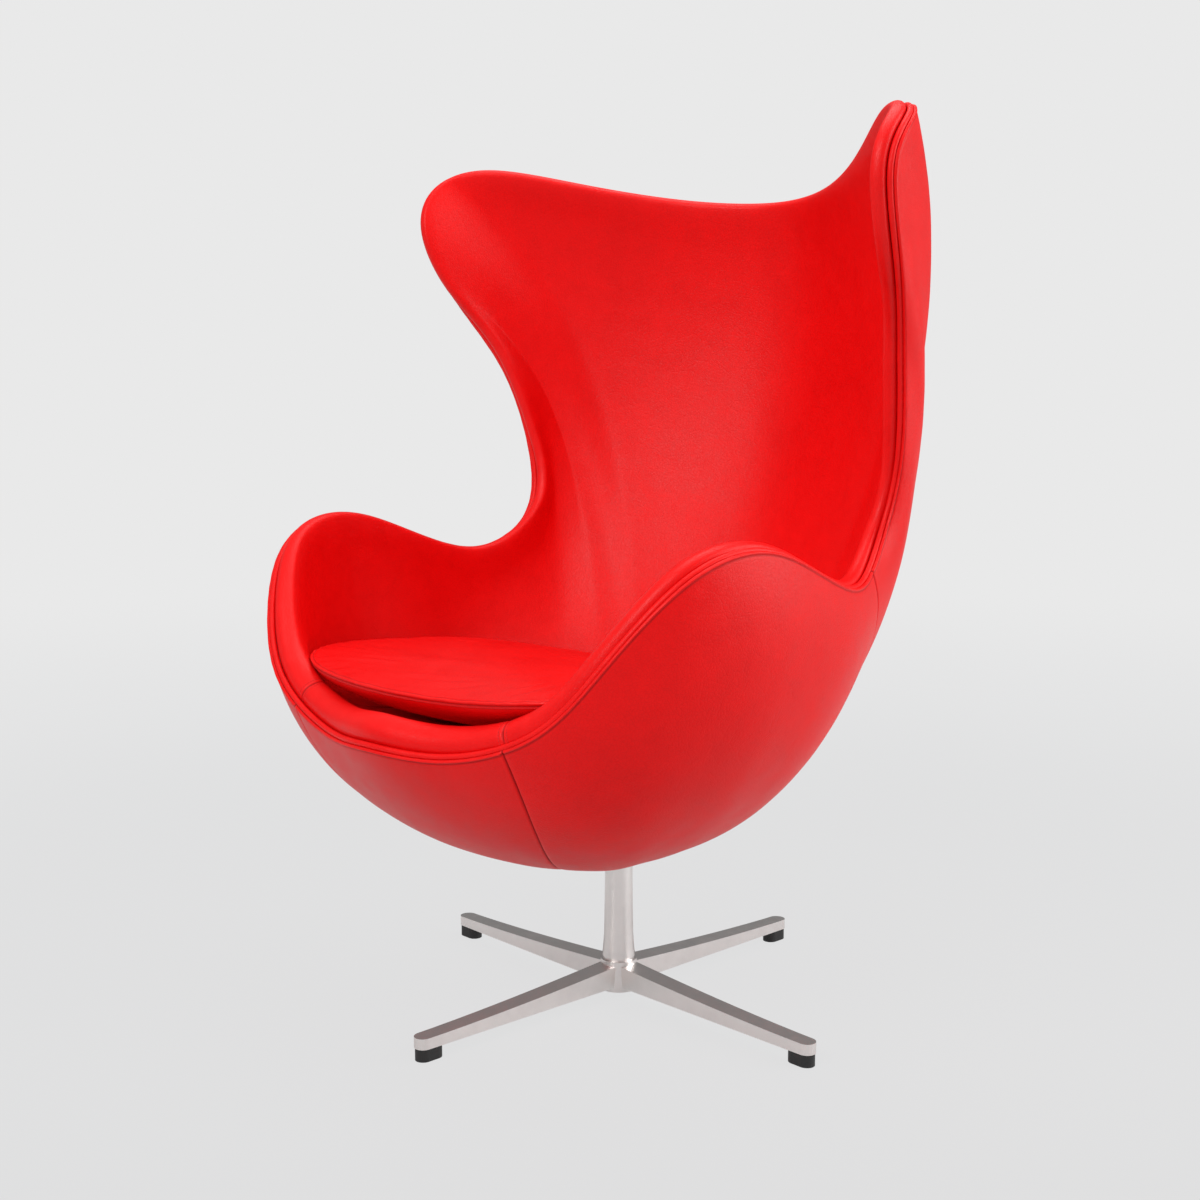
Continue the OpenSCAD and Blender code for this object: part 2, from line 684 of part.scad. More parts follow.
// Spindle with a groove for its retaining ring
yoke_base = column_top + washer_t + 0.2;
socket_h = 22;
ring_z = spindle_foot + 5;
module spindle() {
    r = spindle_d / 2;
    color(bright_steel)
    rotate_extrude()
    polygon([[0, spindle_foot], [r - 1, spindle_foot], [r, spindle_foot + 1], [r, ring_z],
        [r - 1.2, ring_z], [r - 1.2, ring_z + 1.6], [r, ring_z + 1.6],
        [r, yoke_base + socket_h], [r - 2, yoke_base + socket_h + 2],
        [0, yoke_base + socket_h + 2]]);
}

module retaining_ring() {
    r = spindle_d / 2;
    color(bright_steel)
    translate([0, 0, ring_z + 0.2])
    difference() {
        cylinder(r = r + 2, h = 1.2);
        translate([0, 0, -1]) cylinder(r = r - 1.15, h = 4);
        translate([0, -2, -1]) cube([r + 4, 4, 4]);
    }
}

// Lower bracket: socket on the spindle, two ears for the tilt pin, an arm for the spring
ear_x = yoke_inside / 2;
arm_z = yoke_base;
plate_z = well_roof - block_t - bracket_t - 0.2;
split_z = plate_z + bracket_t / 2;
glue = 0.1;
stop_front_y = -pin_forward - 26;
stop_rear_y = 28;
stop_rear_x = 26;
stop_front_x = 14;
stop_h = 10;
stop_d = 12;
function plate_under(y, tilt) =
    pin_height + (plate_z - pin_height) * cos(tilt) - (y + pin_forward) * sin(tilt);
front_stop_top = plate_z - layer_gap;
rear_stop_top = plate_under(stop_rear_y + stop_d / 2, tilt_max) - layer_gap;
module tilt_yoke() {
    color(black_plastic)
    difference() {
        union() {
            translate([0, 0, yoke_base]) cylinder(d = 36, h = socket_h);
            translate([0, 0, arm_z]) linear_extrude(bracket_t) {
                translate([-ear_x - bracket_t, stop_front_y - 7]) square([yoke_inside + 2 * bracket_t, 62]);
                translate([-17, 0]) square([34, 44]);
                translate([0, spring_back]) circle(d = 34);
                translate([-stop_rear_x, stop_rear_y - 7]) square([2 * stop_rear_x, 14]);
                for (s = [-1, 1]) translate([s * stop_rear_x, stop_rear_y]) circle(d = 14);
            }
            for (s = [-1, 1]) {
                translate([s * (ear_x + bracket_t / 2), 0, 0]) rotate([90, 0, 90])
                    linear_extrude(bracket_t, center = true) ear_profile(arm_z);
                translate([s * stop_front_x, stop_front_y, arm_z])
                    cylinder(d = stop_d, h = front_stop_top - stop_h - arm_z);
                translate([s * stop_rear_x, stop_rear_y, arm_z])
                    cylinder(d = stop_d, h = rear_stop_top - stop_h - arm_z);
            }
        }
        translate([0, 0, yoke_base - 1]) cylinder(r = spindle_d / 2 + 0.02, h = socket_h + 2);
        translate([0, -pin_forward, pin_height]) rotate([0, 90, 0])
            cylinder(d = pin_d + 0.04, h = 100, center = true);
        translate([0, spring_back, arm_z - 1]) cylinder(d = 8 + 2 * running, h = bracket_t + 2);
    }
}

module ear_profile(base) {
    polygon([[-pin_forward - 30, base], [-pin_forward - 10, pin_height], [-pin_forward + 10, pin_height],
        [4, base]]);
    translate([-pin_forward, pin_height]) circle(d = 20);
}

bracket_x = ear_x + bracket_t + 0.4;
pin_half = bracket_x + bracket_t + 4;
module tilt_pin() {
    color(bright_steel)
    translate([0, -pin_forward, pin_height]) rotate([0, 90, 0])
        cylinder(d = pin_d, h = 2 * pin_half, center = true);
}

module pin_clips() {
    color(bright_steel)
    for (s = [-1, 1]) translate([s * (pin_half - 1.6), -pin_forward, pin_height]) rotate([0, 90, 0])
    difference() {
        cylinder(d = pin_d + 5, h = 1.2, center = true);
        cylinder(d = pin_d + 0.04, h = 3, center = true);
    }
}

// Compression spring between the arm's cup and the seat bracket
cup_t = 2;
spring_foot = arm_z + bracket_t + 0.1 + cup_t + 0.1;
spring_top = plate_z - 0.3;
spring_sides = 6;
spring_steps = 14;
coil_r = (spring_d - spring_wire) / 2;
function coil_angle(s) = 360 * s / spring_steps;
coil_count = spring_turns * spring_steps;
function coil_z(s) = let (f = s / coil_count, lie = spring_foot + spring_wire / 2,
    run = spring_top - spring_foot - spring_wire, e = 0.16)
    lie + run * (f < e ? f * f / (2 * e * (1 - e)) : f > 1 - e ? 1 - (1 - f) ^ 2 / (2 * e * (1 - e))
        : (f - e / 2) / (1 - e));
function coil_section(s) = let (a = coil_angle(s)) [for (k = [0:spring_sides - 1])
    let (b = 360 * k / spring_sides, r = coil_r + spring_wire / 2 * cos(b))
    [r * cos(a), spring_back + r * sin(a), coil_z(s) + spring_wire / 2 * sin(b)]];
module tilt_spring() {
    color(bright_steel)
    ring_stack(
        [coil_r * cos(0), spring_back, coil_z(0)],
        [for (s = [0:coil_count]) coil_section(s)],
        [coil_r * cos(coil_angle(coil_count)), spring_back + coil_r * sin(coil_angle(coil_count)),
            coil_z(coil_count)],
        coil_count);
}

module spring_cup() {
    color(bright_steel)
    translate([0, spring_back, arm_z + bracket_t + 0.1])
    difference() {
        union() {
            cylinder(d = spring_d + 1, h = cup_t);
            cylinder(d = spring_d - 2 * spring_wire - 2, h = cup_t + 7);
        }
        translate([0, 0, -1]) cylinder(d = 8 + 2 * running, h = cup_t + 9);
    }
}

// Rubber stops on the bracket's posts: the front pair holds the chair upright, the rear pair ends the tilt
module stop_buffers() {
    color(black_plastic)
    for (s = [-1, 1]) {
        translate([s * stop_front_x, stop_front_y, front_stop_top - stop_h + 0.02])
            cylinder(d = stop_d, h = stop_h - 0.02);
        translate([s * stop_rear_x, stop_rear_y, rear_stop_top - stop_h + 0.02])
            cylinder(d = stop_d, h = stop_h - 0.02);
    }
}

// Tension screw through the arm, turned by the knob below
knob_h = 16;
knob_top = arm_z - 1.5;
module tension_screw() {
    color(bright_steel)
    translate([0, spring_back, knob_top - knob_h + 5])
        cylinder(d = 8, h = arm_z + bracket_t + cup_t + 8 - knob_top + knob_h - 5);
}

module tension_knob() {
    flutes = 8;
    color(black_plastic)
    translate([0, spring_back, knob_top - knob_h])
    difference() {
        union() {
            cylinder(d = knob_d, h = knob_h - 2);
            translate([0, 0, knob_h - 2]) cylinder(d = 14, h = 2);
        }
        for (k = [0:flutes - 1])
            rotate([0, 0, 360 * k / flutes + 22.5]) translate([knob_d / 2 + 1.5, 0, -1])
            cylinder(d = 6, h = knob_h - 3);
        translate([0, 0, 5]) cylinder(d = 8.04, h = knob_h);
    }
}

// Upper bracket: plate bolted to the block, with two ears on the tilt pin
plate_r = 66;
bolt_x = 42;
bolt_y = 36;
module bolt_places() {
    for (x = [-bolt_x, bolt_x], y = [-bolt_y, bolt_y]) translate([x, y, 0]) children();
}

module seat_bracket() {
    color(bright_steel)
    difference() {
        union() {
            translate([0, 0, plate_z]) cylinder(r = plate_r, h = bracket_t);
            for (s = [-1, 1]) translate([s * (bracket_x + bracket_t / 2), 0, 0]) rotate([90, 0, 90])
                linear_extrude(bracket_t, center = true) {
                    translate([-pin_forward - 14, pin_height]) square([28, plate_z - pin_height + 1]);
                    translate([-pin_forward, pin_height]) circle(d = 28);
                }
        }
        translate([0, -pin_forward, pin_height]) rotate([0, 90, 0])
            cylinder(d = pin_d + 2 * running, h = 100, center = true);
        bolt_places() translate([0, 0, plate_z - 1]) cylinder(d = 8.6, h = bracket_t + 2);
    }
}

block_z = plate_z + bracket_t + 0.1;
insert_d = 12;
module mounting_block() {
    color(plywood)
    difference() {
        translate([0, 0, block_z]) cylinder(r = 70, h = block_t);
        bolt_places() translate([0, 0, block_z - 1]) cylinder(d = insert_d + 0.04, h = block_t + 2);
    }
}

module block_inserts() {
    color(bright_steel)
    bolt_places() translate([0, 0, block_z + 0.1])
    difference() {
        cylinder(d = insert_d, h = block_t - 0.2);
        translate([0, 0, -1]) cylinder(d = 8 + 0.04, h = block_t + 2);
    }
}

module bracket_bolts() {
    color(bright_steel)
    bolt_places() {
        translate([0, 0, plate_z - 5.6]) cylinder(d = 14, h = 5.5, $fn = 6);
        translate([0, 0, plate_z - 0.2]) cylinder(d = 8, h = bracket_t + block_t - 2);
    }
}

// Moulded cup that lines the well
module well_liner() {
    liner_foot = 226;
    liner_r = well_r - 1;
    color(black_plastic)
    difference() {
        translate([0, 0, liner_foot]) cylinder(r = liner_r, h = well_roof - 0.3 - liner_foot);
        translate([0, 0, liner_foot + 2]) cylinder(r = liner_r - 2.5, h = well_roof);
        translate([0, 0, liner_foot - 1]) cylinder(r = liner_r - 7, h = 10);
    }
}

module placed() { translate([0, footprint_shift, 0]) children(); }

placed() star_base();
placed() glides();
placed() glide_screws();
placed() column_tube();
placed() hub_ring();
placed() hub_washer();
placed() hub_nut();
placed() lower_bush();
placed() upper_bush();
placed() thrust_washer();
placed() spindle();
placed() retaining_ring();
placed() tilt_yoke();
placed() tilt_pin();
placed() pin_clips();
placed() tilt_spring();
placed() spring_cup();
placed() stop_buffers();
placed() tension_screw();
placed() tension_knob();
placed() seat_bracket();
placed() mounting_block();
placed() block_inserts();
placed() bracket_bolts();
placed() well_liner();
placed() shell_foot();
placed() shell_core();
placed() foam_padding();
placed() seat_deck();
placed() inner_front_cover();
placed() inner_back_cover();
placed() outer_front_cover();
placed() outer_side_cover_left();
placed() outer_side_cover_right();
placed() outer_back_cover();
placed() rim_welt();
placed() underside_trim();
placed() cushion_top();
placed() cushion_bottom();
placed() cushion_core();
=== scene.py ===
"""Dresses the lounge chair's frame in leather, metal and stitching, and sets it in a plain studio."""

import math

import bpy
import numpy as np
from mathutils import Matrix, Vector
from mathutils.bvhtree import BVHTree


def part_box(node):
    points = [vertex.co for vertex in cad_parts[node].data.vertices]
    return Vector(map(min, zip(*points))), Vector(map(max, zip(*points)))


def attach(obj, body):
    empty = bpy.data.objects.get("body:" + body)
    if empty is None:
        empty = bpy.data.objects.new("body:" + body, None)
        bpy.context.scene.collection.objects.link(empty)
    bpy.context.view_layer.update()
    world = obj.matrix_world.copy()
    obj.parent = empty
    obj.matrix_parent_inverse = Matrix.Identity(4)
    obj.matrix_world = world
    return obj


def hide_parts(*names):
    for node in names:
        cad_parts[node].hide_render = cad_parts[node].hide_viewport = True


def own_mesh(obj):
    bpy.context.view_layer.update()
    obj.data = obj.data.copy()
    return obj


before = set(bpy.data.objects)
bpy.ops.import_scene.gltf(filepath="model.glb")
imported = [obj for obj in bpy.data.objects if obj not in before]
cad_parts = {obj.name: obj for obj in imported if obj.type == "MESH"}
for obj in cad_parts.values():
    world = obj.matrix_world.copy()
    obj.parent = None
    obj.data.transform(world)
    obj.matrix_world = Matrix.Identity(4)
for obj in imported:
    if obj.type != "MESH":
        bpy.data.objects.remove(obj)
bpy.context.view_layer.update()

bl_info = {
    "name": "Winged lounge chair",
    "version": (1, 0, 0),
    "blender": (4, 5, 0),
    "location": "3D View > Sidebar > Lounge chair",
    "description": "Upholsters a swivelling winged lounge chair and lights it",
    "category": "Object",
}

# ---------------------------------------------------------------- shell form
# Stations round the rim, from the middle of the front lip to the middle of the crown, in millimetres.
# The second list is the fullest line of the belly below each of them, the third its bearing underneath.
RIM = [(0, -395, 380), (100, -370, 375), (225, -350, 415), (290, -320, 490), (345, -260, 575),
       (360, -165, 600), (355, -75, 575), (340.5, 15, 545), (320, 80, 555), (305, 130, 610),
       (320, 138, 695), (339.5, 106, 808), (375, 48, 897), (390, 5, 997), (385, 55, 1050),
       (336, 100, 1070), (240, 195, 1045), (125, 286, 1022), (0, 330, 1015)]
BELLY = [(0, -290, 235), (115, -290, 240), (235, -285, 255), (320, -255, 260), (365, -205, 285),
         (395, -150, 310), (390, -95, 335), (380, -25, 360), (355, 55, 390), (330, 145, 450),
         (310, 245, 515), (290, 330, 595), (280, 390, 670), (265, 425, 730), (245, 435, 755),
         (210, 440, 760), (155, 440, 755), (80, 445, 745), (0, 450, 740)]
BEARING = [0, 12, 26, 37, 46, 55, 64, 75, 87, 97, 107, 117, 127, 138, 148, 155, 162, 171, 180]
# Thickness of the padded edge at each station, and how far its roll stands past the rim.
EDGE = [48, 48, 46, 39, 33, 30, 30, 29, 28, 27, 27, 27, 27, 27, 27, 27, 28, 29, 29]
CREST = [18, 16.4, 14.8, 13.2, 11.6] + [10] * 14
LAST = len(RIM) - 1
TURN = 2 * LAST  # stations once round both halves of the shell
UNDERSIDE = 197.0  # height of the middle of the underside, and its place from front to back
BOTTOM_Y = -10.0
UNDER_HALF_WIDTH = 215.0  # reach of the flat start of the meridians, to the sides and front and to the rear
UNDER_REAR = 195.0
FLOOR_HEIGHT = 362.0  # of the seat floor under the cushion, at the swivel axis
FLOOR_SLOPE = math.tan(math.radians(4))
FLOOR_BLEND = 30.0  # width of the round where the seat floor meets the wall
FRONT_SEAM = 1.65  # stations where the seams reach the rim
REAR_SEAM = 8.09
WAIST = 8.3  # station where the leather is gathered over the roll
LEAN = 3.5  # stations by which a column slides back below the waist
ACROSS = 0.02  # small steps in stations and in v that slopes are measured over
DOWN = 0.01


def shift_origin():
    """How far the frame's middle lies from the swivel axis, read from the column."""
    low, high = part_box("column_tube")
    return Vector(((low[0] + high[0]) / 2, (low[1] + high[1]) / 2, 0))


AXIS = shift_origin()


def ring(stations):
    """Both halves of the shell as one closed row of control points."""
    half = np.array(stations, float)
    other = half[1:-1][::-1] * np.array([-1, 1, 1])
    whole = np.vstack([half, other])
    return (8 * whole - np.roll(whole, 1, 0) - np.roll(whole, -1, 0)) / 6


RIM_RING = ring(RIM)
BELLY_RING = ring(BELLY)
BEARING_RING = np.array(BEARING + [360 - b for b in BEARING[1:-1][::-1]], float)


def along(control, t):
    """A smooth closed curve through the stations at parameter t."""
    t = np.mod(t, TURN)
    i = np.floor(t).astype(int)
    f = (t - i)[..., None]
    weights = ((1 - f) ** 3, 3 * f ** 3 - 6 * f ** 2 + 4, 1 + 3 * f + 3 * f ** 2 - 3 * f ** 3, f ** 3)
    return sum(w * control[(i + k - 1) % TURN] for k, w in enumerate(weights)) / 6


def bearing(t):
    """The direction in which the meridian at t leaves the middle of the underside."""
    turns = np.floor(t / TURN)
    t = t - turns * TURN
    i = np.floor(t).astype(int)
    f = t - i

    def at(k):
        return BEARING_RING[k % TURN] + 360 * np.floor_divide(k, TURN)

    a, b, c, d = at(i - 1), at(i), at(i + 1), at(i + 2)
    curve = (b + f * (c - a) / 2 + f ** 2 * (a - 2.5 * b + 2 * c - d / 2)
             + f ** 3 * (1.5 * (b - c) + (d - a) / 2))
    return np.radians(curve + 360 * turns)


def skin(t, v):
    """The outer face of the shell: v runs from the middle of the underside to the rim."""
    t, v = np.broadcast_arrays(np.asarray(t, float), np.asarray(v, float))
    angle = bearing(t)
    reach = np.where(np.cos(angle) > 0, UNDER_HALF_WIDTH, UNDER_REAR)
    under = np.stack([
        UNDER_HALF_WIDTH * np.sin(angle), BOTTOM_Y - reach * np.cos(angle), np.full(t.shape, UNDERSIDE)], -1)
    start = np.array([0, BOTTOM_Y, UNDERSIDE])
    v = v[..., None]
    return ((1 - v) ** 3 * start + 3 * (1 - v) ** 2 * v * under
            + 3 * (1 - v) * v * v * along(BELLY_RING, t) + v ** 3 * along(RIM_RING, t))


def unit(a):
    return a / np.maximum(np.linalg.norm(a, axis=-1, keepdims=True), 1e-12)


def inward(t, v):
    """The direction from the outer face into the shell."""
    return unit(np.cross(skin(t, v) - skin(t, v - DOWN), skin(t + ACROSS, v) - skin(t - ACROSS, v)))


def from_front(t):
    """Stations from the middle of the front lip, alike on both halves."""
    t = np.mod(t, TURN)
    return np.minimum(t, TURN - t)


def by_station(values, t):
    """A size given at the stations, read between them on either half."""
    return np.interp(from_front(t), np.arange(LAST + 1), values)


def floor_at(y):
    return FLOOR_HEIGHT - y * FLOOR_SLOPE


def depth(t, p, n):
    """Distance from the outer face to the leather inside, more where the seat floor is built up."""
    wall = by_station(EDGE, t)
    fill = (floor_at(p[..., 1]) - p[..., 2]) / np.maximum(n[..., 2] + n[..., 1] * FLOOR_SLOPE, 0.35)
    return (wall + fill + np.sqrt((wall - fill) ** 2 + FLOOR_BLEND ** 2)) / 2


def rim_frames(t):
    """Points of the rim with the directions into the wall and out past the edge."""
    p = skin(t, 1.0)
    n = inward(t, 1.0)
    run = skin(t + ACROSS, 1.0) - skin(t - ACROSS, 1.0)
    return p, n, unit(np.cross(run, n))


def smooth_step(x):
    x = np.clip(x, 0, 1)
    return x * x * (3 - 2 * x)


def leaning(t, v):
    """Slides a column back below the waist and wings, so that it meets the rim squarely."""
    half = from_front(t)
    slide = LEAN * (1 - v) * smooth_step((half - 3) / 5) * (1 - smooth_step((half - 11) / (LAST - 11)))
    return t + np.where(np.mod(t, TURN) < LAST, slide, -slide)


def hump(x, width):
    return np.exp(-(x / width) ** 2)


def ridges(x, rows):
    """Ridges and grooves along a line: the height, place and half width of each."""
    return sum(height * hump(x - middle, width) for height, middle, width in rows)


def signed_power(x, power):
    return np.sign(x) * np.abs(x) ** power


def soft_waves(p, size, seed):
    """A gentle uneven surface, the same on every run."""
    rng = np.random.default_rng(seed)
    total = np.zeros(p.shape[:-1])
    for _ in range(7):
        way = unit(rng.normal(size=3)) * (0.7 + 0.6 * rng.random())
        total = total + np.sin(p @ way * 2 * math.pi / size + rng.random() * 6.28)
    return total / 7


def place(points):
    """Millimetres about the swivel axis to metres in the frame."""
    return np.asarray(points, float) * 0.001 + np.array(AXIS)


# ---------------------------------------------------------------- mesh helpers
def mesh_object(name, vertices, faces, layers=None):
    """A smooth-shaded object from points in metres, with optional number layers on its points."""
    mesh = bpy.data.meshes.new(name)
    mesh.from_pydata([tuple(v) for v in np.asarray(vertices, float)], [], faces)
    for key, values in (layers or {}).items():
        layer = mesh.attributes.new(key, "FLOAT", "POINT")
        layer.data.foreach_set("value", np.asarray(values, np.float32).ravel())
    mesh.shade_smooth()
    mesh.update()
    return linked(name, mesh)


def linked(name, data):
    made = bpy.data.objects.new(name, data)
    bpy.context.scene.collection.objects.link(made)
    return made


def grid_faces(rows, columns, wrap=False, flip=False):
    index = np.arange(rows * columns).reshape(rows, columns)
    right = np.roll(index, -1, 1) if wrap else index[:, 1:]
    left = index if wrap else index[:, :-1]
    quads = np.stack([left[:-1], right[:-1], right[1:], left[1:]], -1).reshape(-1, 4)
    return (quads[:, ::-1] if flip else quads).tolist()


def meridian_rows(column_at, low, steps, spacing):
    """For each column, values of v at set distances from the rim, then evenly down to the low end."""
    fine = np.linspace(low, 1, 181)
    points = skin(column_at(fine[:, None]), fine[:, None])
    columns = points.shape[1]
    gaps = np.linalg.norm(np.diff(points, axis=0), axis=-1)
    from_rim = np.concatenate([np.cumsum(gaps[::-1], 0)[::-1], np.zeros((1, columns))])
    total = from_rim[0]
    start = steps[-1]
    count = max(4, int(math.ceil((total.max() - start) / spacing)))
    targets = np.concatenate([
        np.repeat(np.array(steps)[:, None], columns, 1),
        start + (total - start)[None, :] * (np.arange(1, count + 1) / count)[:, None]])
    v = np.stack([np.interp(targets[:, k], from_rim[::-1, k], fine[::-1]) for k in range(columns)], 1)
    return v, targets


def run_length(points):
    """Distance along each row from its first column."""
    gaps = np.linalg.norm(np.diff(points, axis=1), axis=-1)
    return np.concatenate([np.zeros((len(points), 1)), np.cumsum(gaps, 1)], 1)


def rear_seam_at(v):
    """The rear seam starts under the waist of the wing and slants back as it runs down."""
    return REAR_SEAM + LEAN * (1 - v)


# ---------------------------------------------------------------- nodes
def add_node(tree, kind, settings=None, inputs=None):
    """A node with its settings and inputs; an input that is another node's output gets a link."""
    made = tree.nodes.new(kind)
    for key, value in (settings or {}).items():
        setattr(made, key, value)
    for key, value in (inputs or {}).items():
        if isinstance(value, bpy.types.NodeSocket):
            tree.links.new(value, made.inputs[key])
        else:
            made.inputs[key].default_value = value
    return made


class Wire:
    """One output of a material's node tree; arithmetic on it adds the nodes that work it out."""

    def __init__(self, recipe, socket):
        self.recipe = recipe
        self.socket = socket

    def maths(self, operation, *values, clamp=False):
        settings = {"operation": operation, "use_clamp": clamp}
        return self.recipe.node("ShaderNodeMath", settings, dict(enumerate(values)))

    def __add__(self, other):
        return self.maths("ADD", self, other)

    def __sub__(self, other):
        return self.maths("SUBTRACT", self, other)

    def __rsub__(self, other):
        return self.maths("SUBTRACT", other, self)

    def __mul__(self, other):
        return self.maths("MULTIPLY", self, other)

    def clamped(self):
        return self.maths("ADD", self, 0.0, clamp=True)

    def between(self, low, high):
        """0 below low, 1 above high and smooth between."""
        inputs = {"Value": self, "From Min": low, "From Max": high}
        return self.recipe.node("ShaderNodeMapRange", {"interpolation_type": "SMOOTHSTEP"}, inputs)


class Recipe:
    """A material that is written as expressions."""

    def __init__(self, name):
        self.material = bpy.data.materials.new(name)
        self.material.use_nodes = True
        self.tree = self.material.node_tree
        self.tree.nodes.clear()

    def node(self, kind, settings=None, inputs=None, output=0):
        inputs = {key: getattr(value, "socket", value) for key, value in (inputs or {}).items()}
        made = add_node(self.tree, kind, settings, inputs)
        return Wire(self, made.outputs[output]) if made.outputs else None

    def vector(self, operation, inputs, output=0):
        return self.node("ShaderNodeVectorMath", {"operation": operation}, inputs, output)

    def coordinates(self, stretch=None):
        where = self.node("ShaderNodeTexCoord", output="Object")
        return self.node("ShaderNodeMapping", None, {"Vector": where, "Scale": stretch}) if stretch else where

    def noise(self, where, scale, detail=2.0, roughness=0.5, distortion=0.0, output=0):
        return self.node("ShaderNodeTexNoise", None, {
            "Vector": where, "Scale": scale, "Detail": detail, "Roughness": roughness,
            "Distortion": distortion}, output)

    def cells(self, where, scale, feature, **inputs):
        inputs.update(Vector=where, Scale=scale)
        return self.node("ShaderNodeTexVoronoi", {"feature": feature}, inputs, "Distance")

    def layer(self, name):
        return self.node("ShaderNodeAttribute", {"attribute_name": name}, None, "Fac")

    def blend(self, factor, first, second, kind="MIX"):
        settings = {"data_type": "RGBA", "blend_type": kind}
        return self.node("ShaderNodeMix", settings, {0: factor, 6: first, 7: second}, 2)

    def bump(self, height, strength, distance):
        inputs = {"Height": height, "Strength": strength, "Distance": distance}
        return self.node("ShaderNodeBump", None, inputs)

    def surface(self, **inputs):
        names = {key.replace("_", " "): value for key, value in inputs.items()}
        return self.finish(self.node("ShaderNodeBsdfPrincipled", None, names))

    def finish(self, shader):
        self.node("ShaderNodeOutputMaterial", None, {"Surface": shader})
        return self.material


def rgba(colour, light=1.0):
    return (*(min(part * light, 1) for part in colour), 1)


# ---------------------------------------------------------------- settings
def length(name, about, value, low, high, digits=4):
    """A setting in metres."""
    return bpy.props.FloatProperty(
        name=name, description=about, default=value, min=low, max=high, precision=digits,
        subtype="DISTANCE", unit="LENGTH")


def tint(name, about, value):
    """A setting that is a colour."""
    return bpy.props.FloatVectorProperty(
        name=name, description=about, default=value, min=0, max=1, size=3, subtype="COLOR")


def amount(name, about, value, low=0, high=1000, **kind):
    """A setting that is a plain number."""
    return bpy.props.FloatProperty(name=name, description=about, default=value, min=low, max=high, **kind)


class LeatherLook(bpy.types.PropertyGroup):
    """Colour and grain of the leather."""

    colour: tint("Colour", "Colour of the dyed leather", (0.79, 0.0022, 0.0026))
    # Painted shade: the colour laid into seam grooves, the hem's groove and the rows tucked behind the welt,
    # where shade falls.
    shade: tint("Shade", "Colour that the leather takes in folds and seams", (0.26, 0.002, 0.003))
    # Lighter colour for edges that wear, also used as painted highlight on crests, ridges, the welt and the
    # cushion's top.
    worn: tint("Worn", "Colour along edges that hands and sleeves rub", (0.88, 0.014, 0.013))
    grain_size: length("Grain size", "Width of one pebble of the grain", 0.0019, 0.0005, 0.01)
    grain_depth: length("Grain depth", "Height of the grain", 0.0003, 0, 0.002, 5)
    dullness: amount("Dullness", "Roughness of the finish", 0.38, 0.05, 1, subtype="FACTOR")


class CoverSizes(bpy.types.PropertyGroup):
    """Sizes of the sewn covers and the welt."""

    seam_groove: length("Seam groove", "How deep a seam pulls the leather in", 0.0017, 0, 0.006)
    puff: length("Puff", "How far the leather stands up beside a seam", 0.0008, 0, 0.005)
    unevenness: length("Unevenness", "Height of the soft waves of hand-laid leather", 0.0006, 0, 0.004)
    welt: length("Welt thickness", "Width of the sewn leather cord round the rim", 0.0069, 0.003, 0.0078)
    spacing: length("Mesh spacing", "Distance between mesh points on plain leather", 0.006, 0.003, 0.02)


class StitchSizes(bpy.types.PropertyGroup):
    """Sizes of the sewing thread."""

    pitch: length("Pitch", "Distance from one stitch to the next", 0.0034, 0.001, 0.02)
    length: length("Stitch length", "Length of thread that shows", 0.0026, 0.001, 0.02)
    thickness: length("Thread thickness", "Width of the thread", 0.00085, 0.0002, 0.003, 5)
    margin: length("Seam margin", "Distance of the thread from its seam", 0.0055, 0.002, 0.012)
    colour: tint("Thread colour", "Colour of the thread", (0.62, 0.006, 0.008))


class CushionForm(bpy.types.PropertyGroup):
    """Shape of the loose seat cushion."""

    swell: length("Swell", "Most that the filling pushes the cover out", 0.006, 0, 0.03)
    pressure: amount("Pressure", "Pressure of the filling", 4.0, 0, 20)
    voxel: length("Cloth mesh size", "Point spacing of the cloth that is inflated", 0.0055, 0.003, 0.02)
    crease: length("Crease depth", "Depth of the creases on top", 0.0016, 0, 0.01)


class MetalLook(bpy.types.PropertyGroup):
    """Finish of the base and the fittings."""

    aluminium: tint("Aluminium", "Colour of the cast base", (0.90, 0.865, 0.845))
    dullness: amount("Dullness", "Roughness of the satin finish", 0.34, 0.05, 1, subtype="FACTOR")


class StudioLook(bpy.types.PropertyGroup):
    """Backdrop, lamps and camera."""

    backdrop: tint("Backdrop", "Colour behind the chair", (0.815, 0.815, 0.815))
    floor: tint("Floor", "Colour of the floor near the chair", (0.762, 0.764, 0.768))
    key: amount("Key lamp", "Power of the large lamp", 57, unit="POWER")
    fill: amount("Fill lamp", "Power of the second lamp", 60, unit="POWER")
    top: amount("Top lamp", "Power of the lamp overhead", 34, unit="POWER")
    sky: amount("Room light", "Strength of the even light from all round", 0.56, 0, 4)
    mirrored: amount("Mirrored room", "Strength of the room where a finish mirrors it", 0.20, 0, 4)


class ChairSettings(bpy.types.PropertyGroup):
    """All settings of the chair."""

    leather: bpy.props.PointerProperty(type=LeatherLook)
    covers: bpy.props.PointerProperty(type=CoverSizes)
    stitches: bpy.props.PointerProperty(type=StitchSizes)
    cushion: bpy.props.PointerProperty(type=CushionForm)
    metal: bpy.props.PointerProperty(type=MetalLook)
    studio: bpy.props.PointerProperty(type=StudioLook)


# ---------------------------------------------------------------- finishes
FINISHES = {}


def made_once(build):
    """Builds a finish when its name is first asked for, and hands out the same one after that."""

    def finish(name, *values):
        if name not in FINISHES:
            FINISHES[name] = build(Recipe(name), *values)
        return FINISHES[name]

    return finish


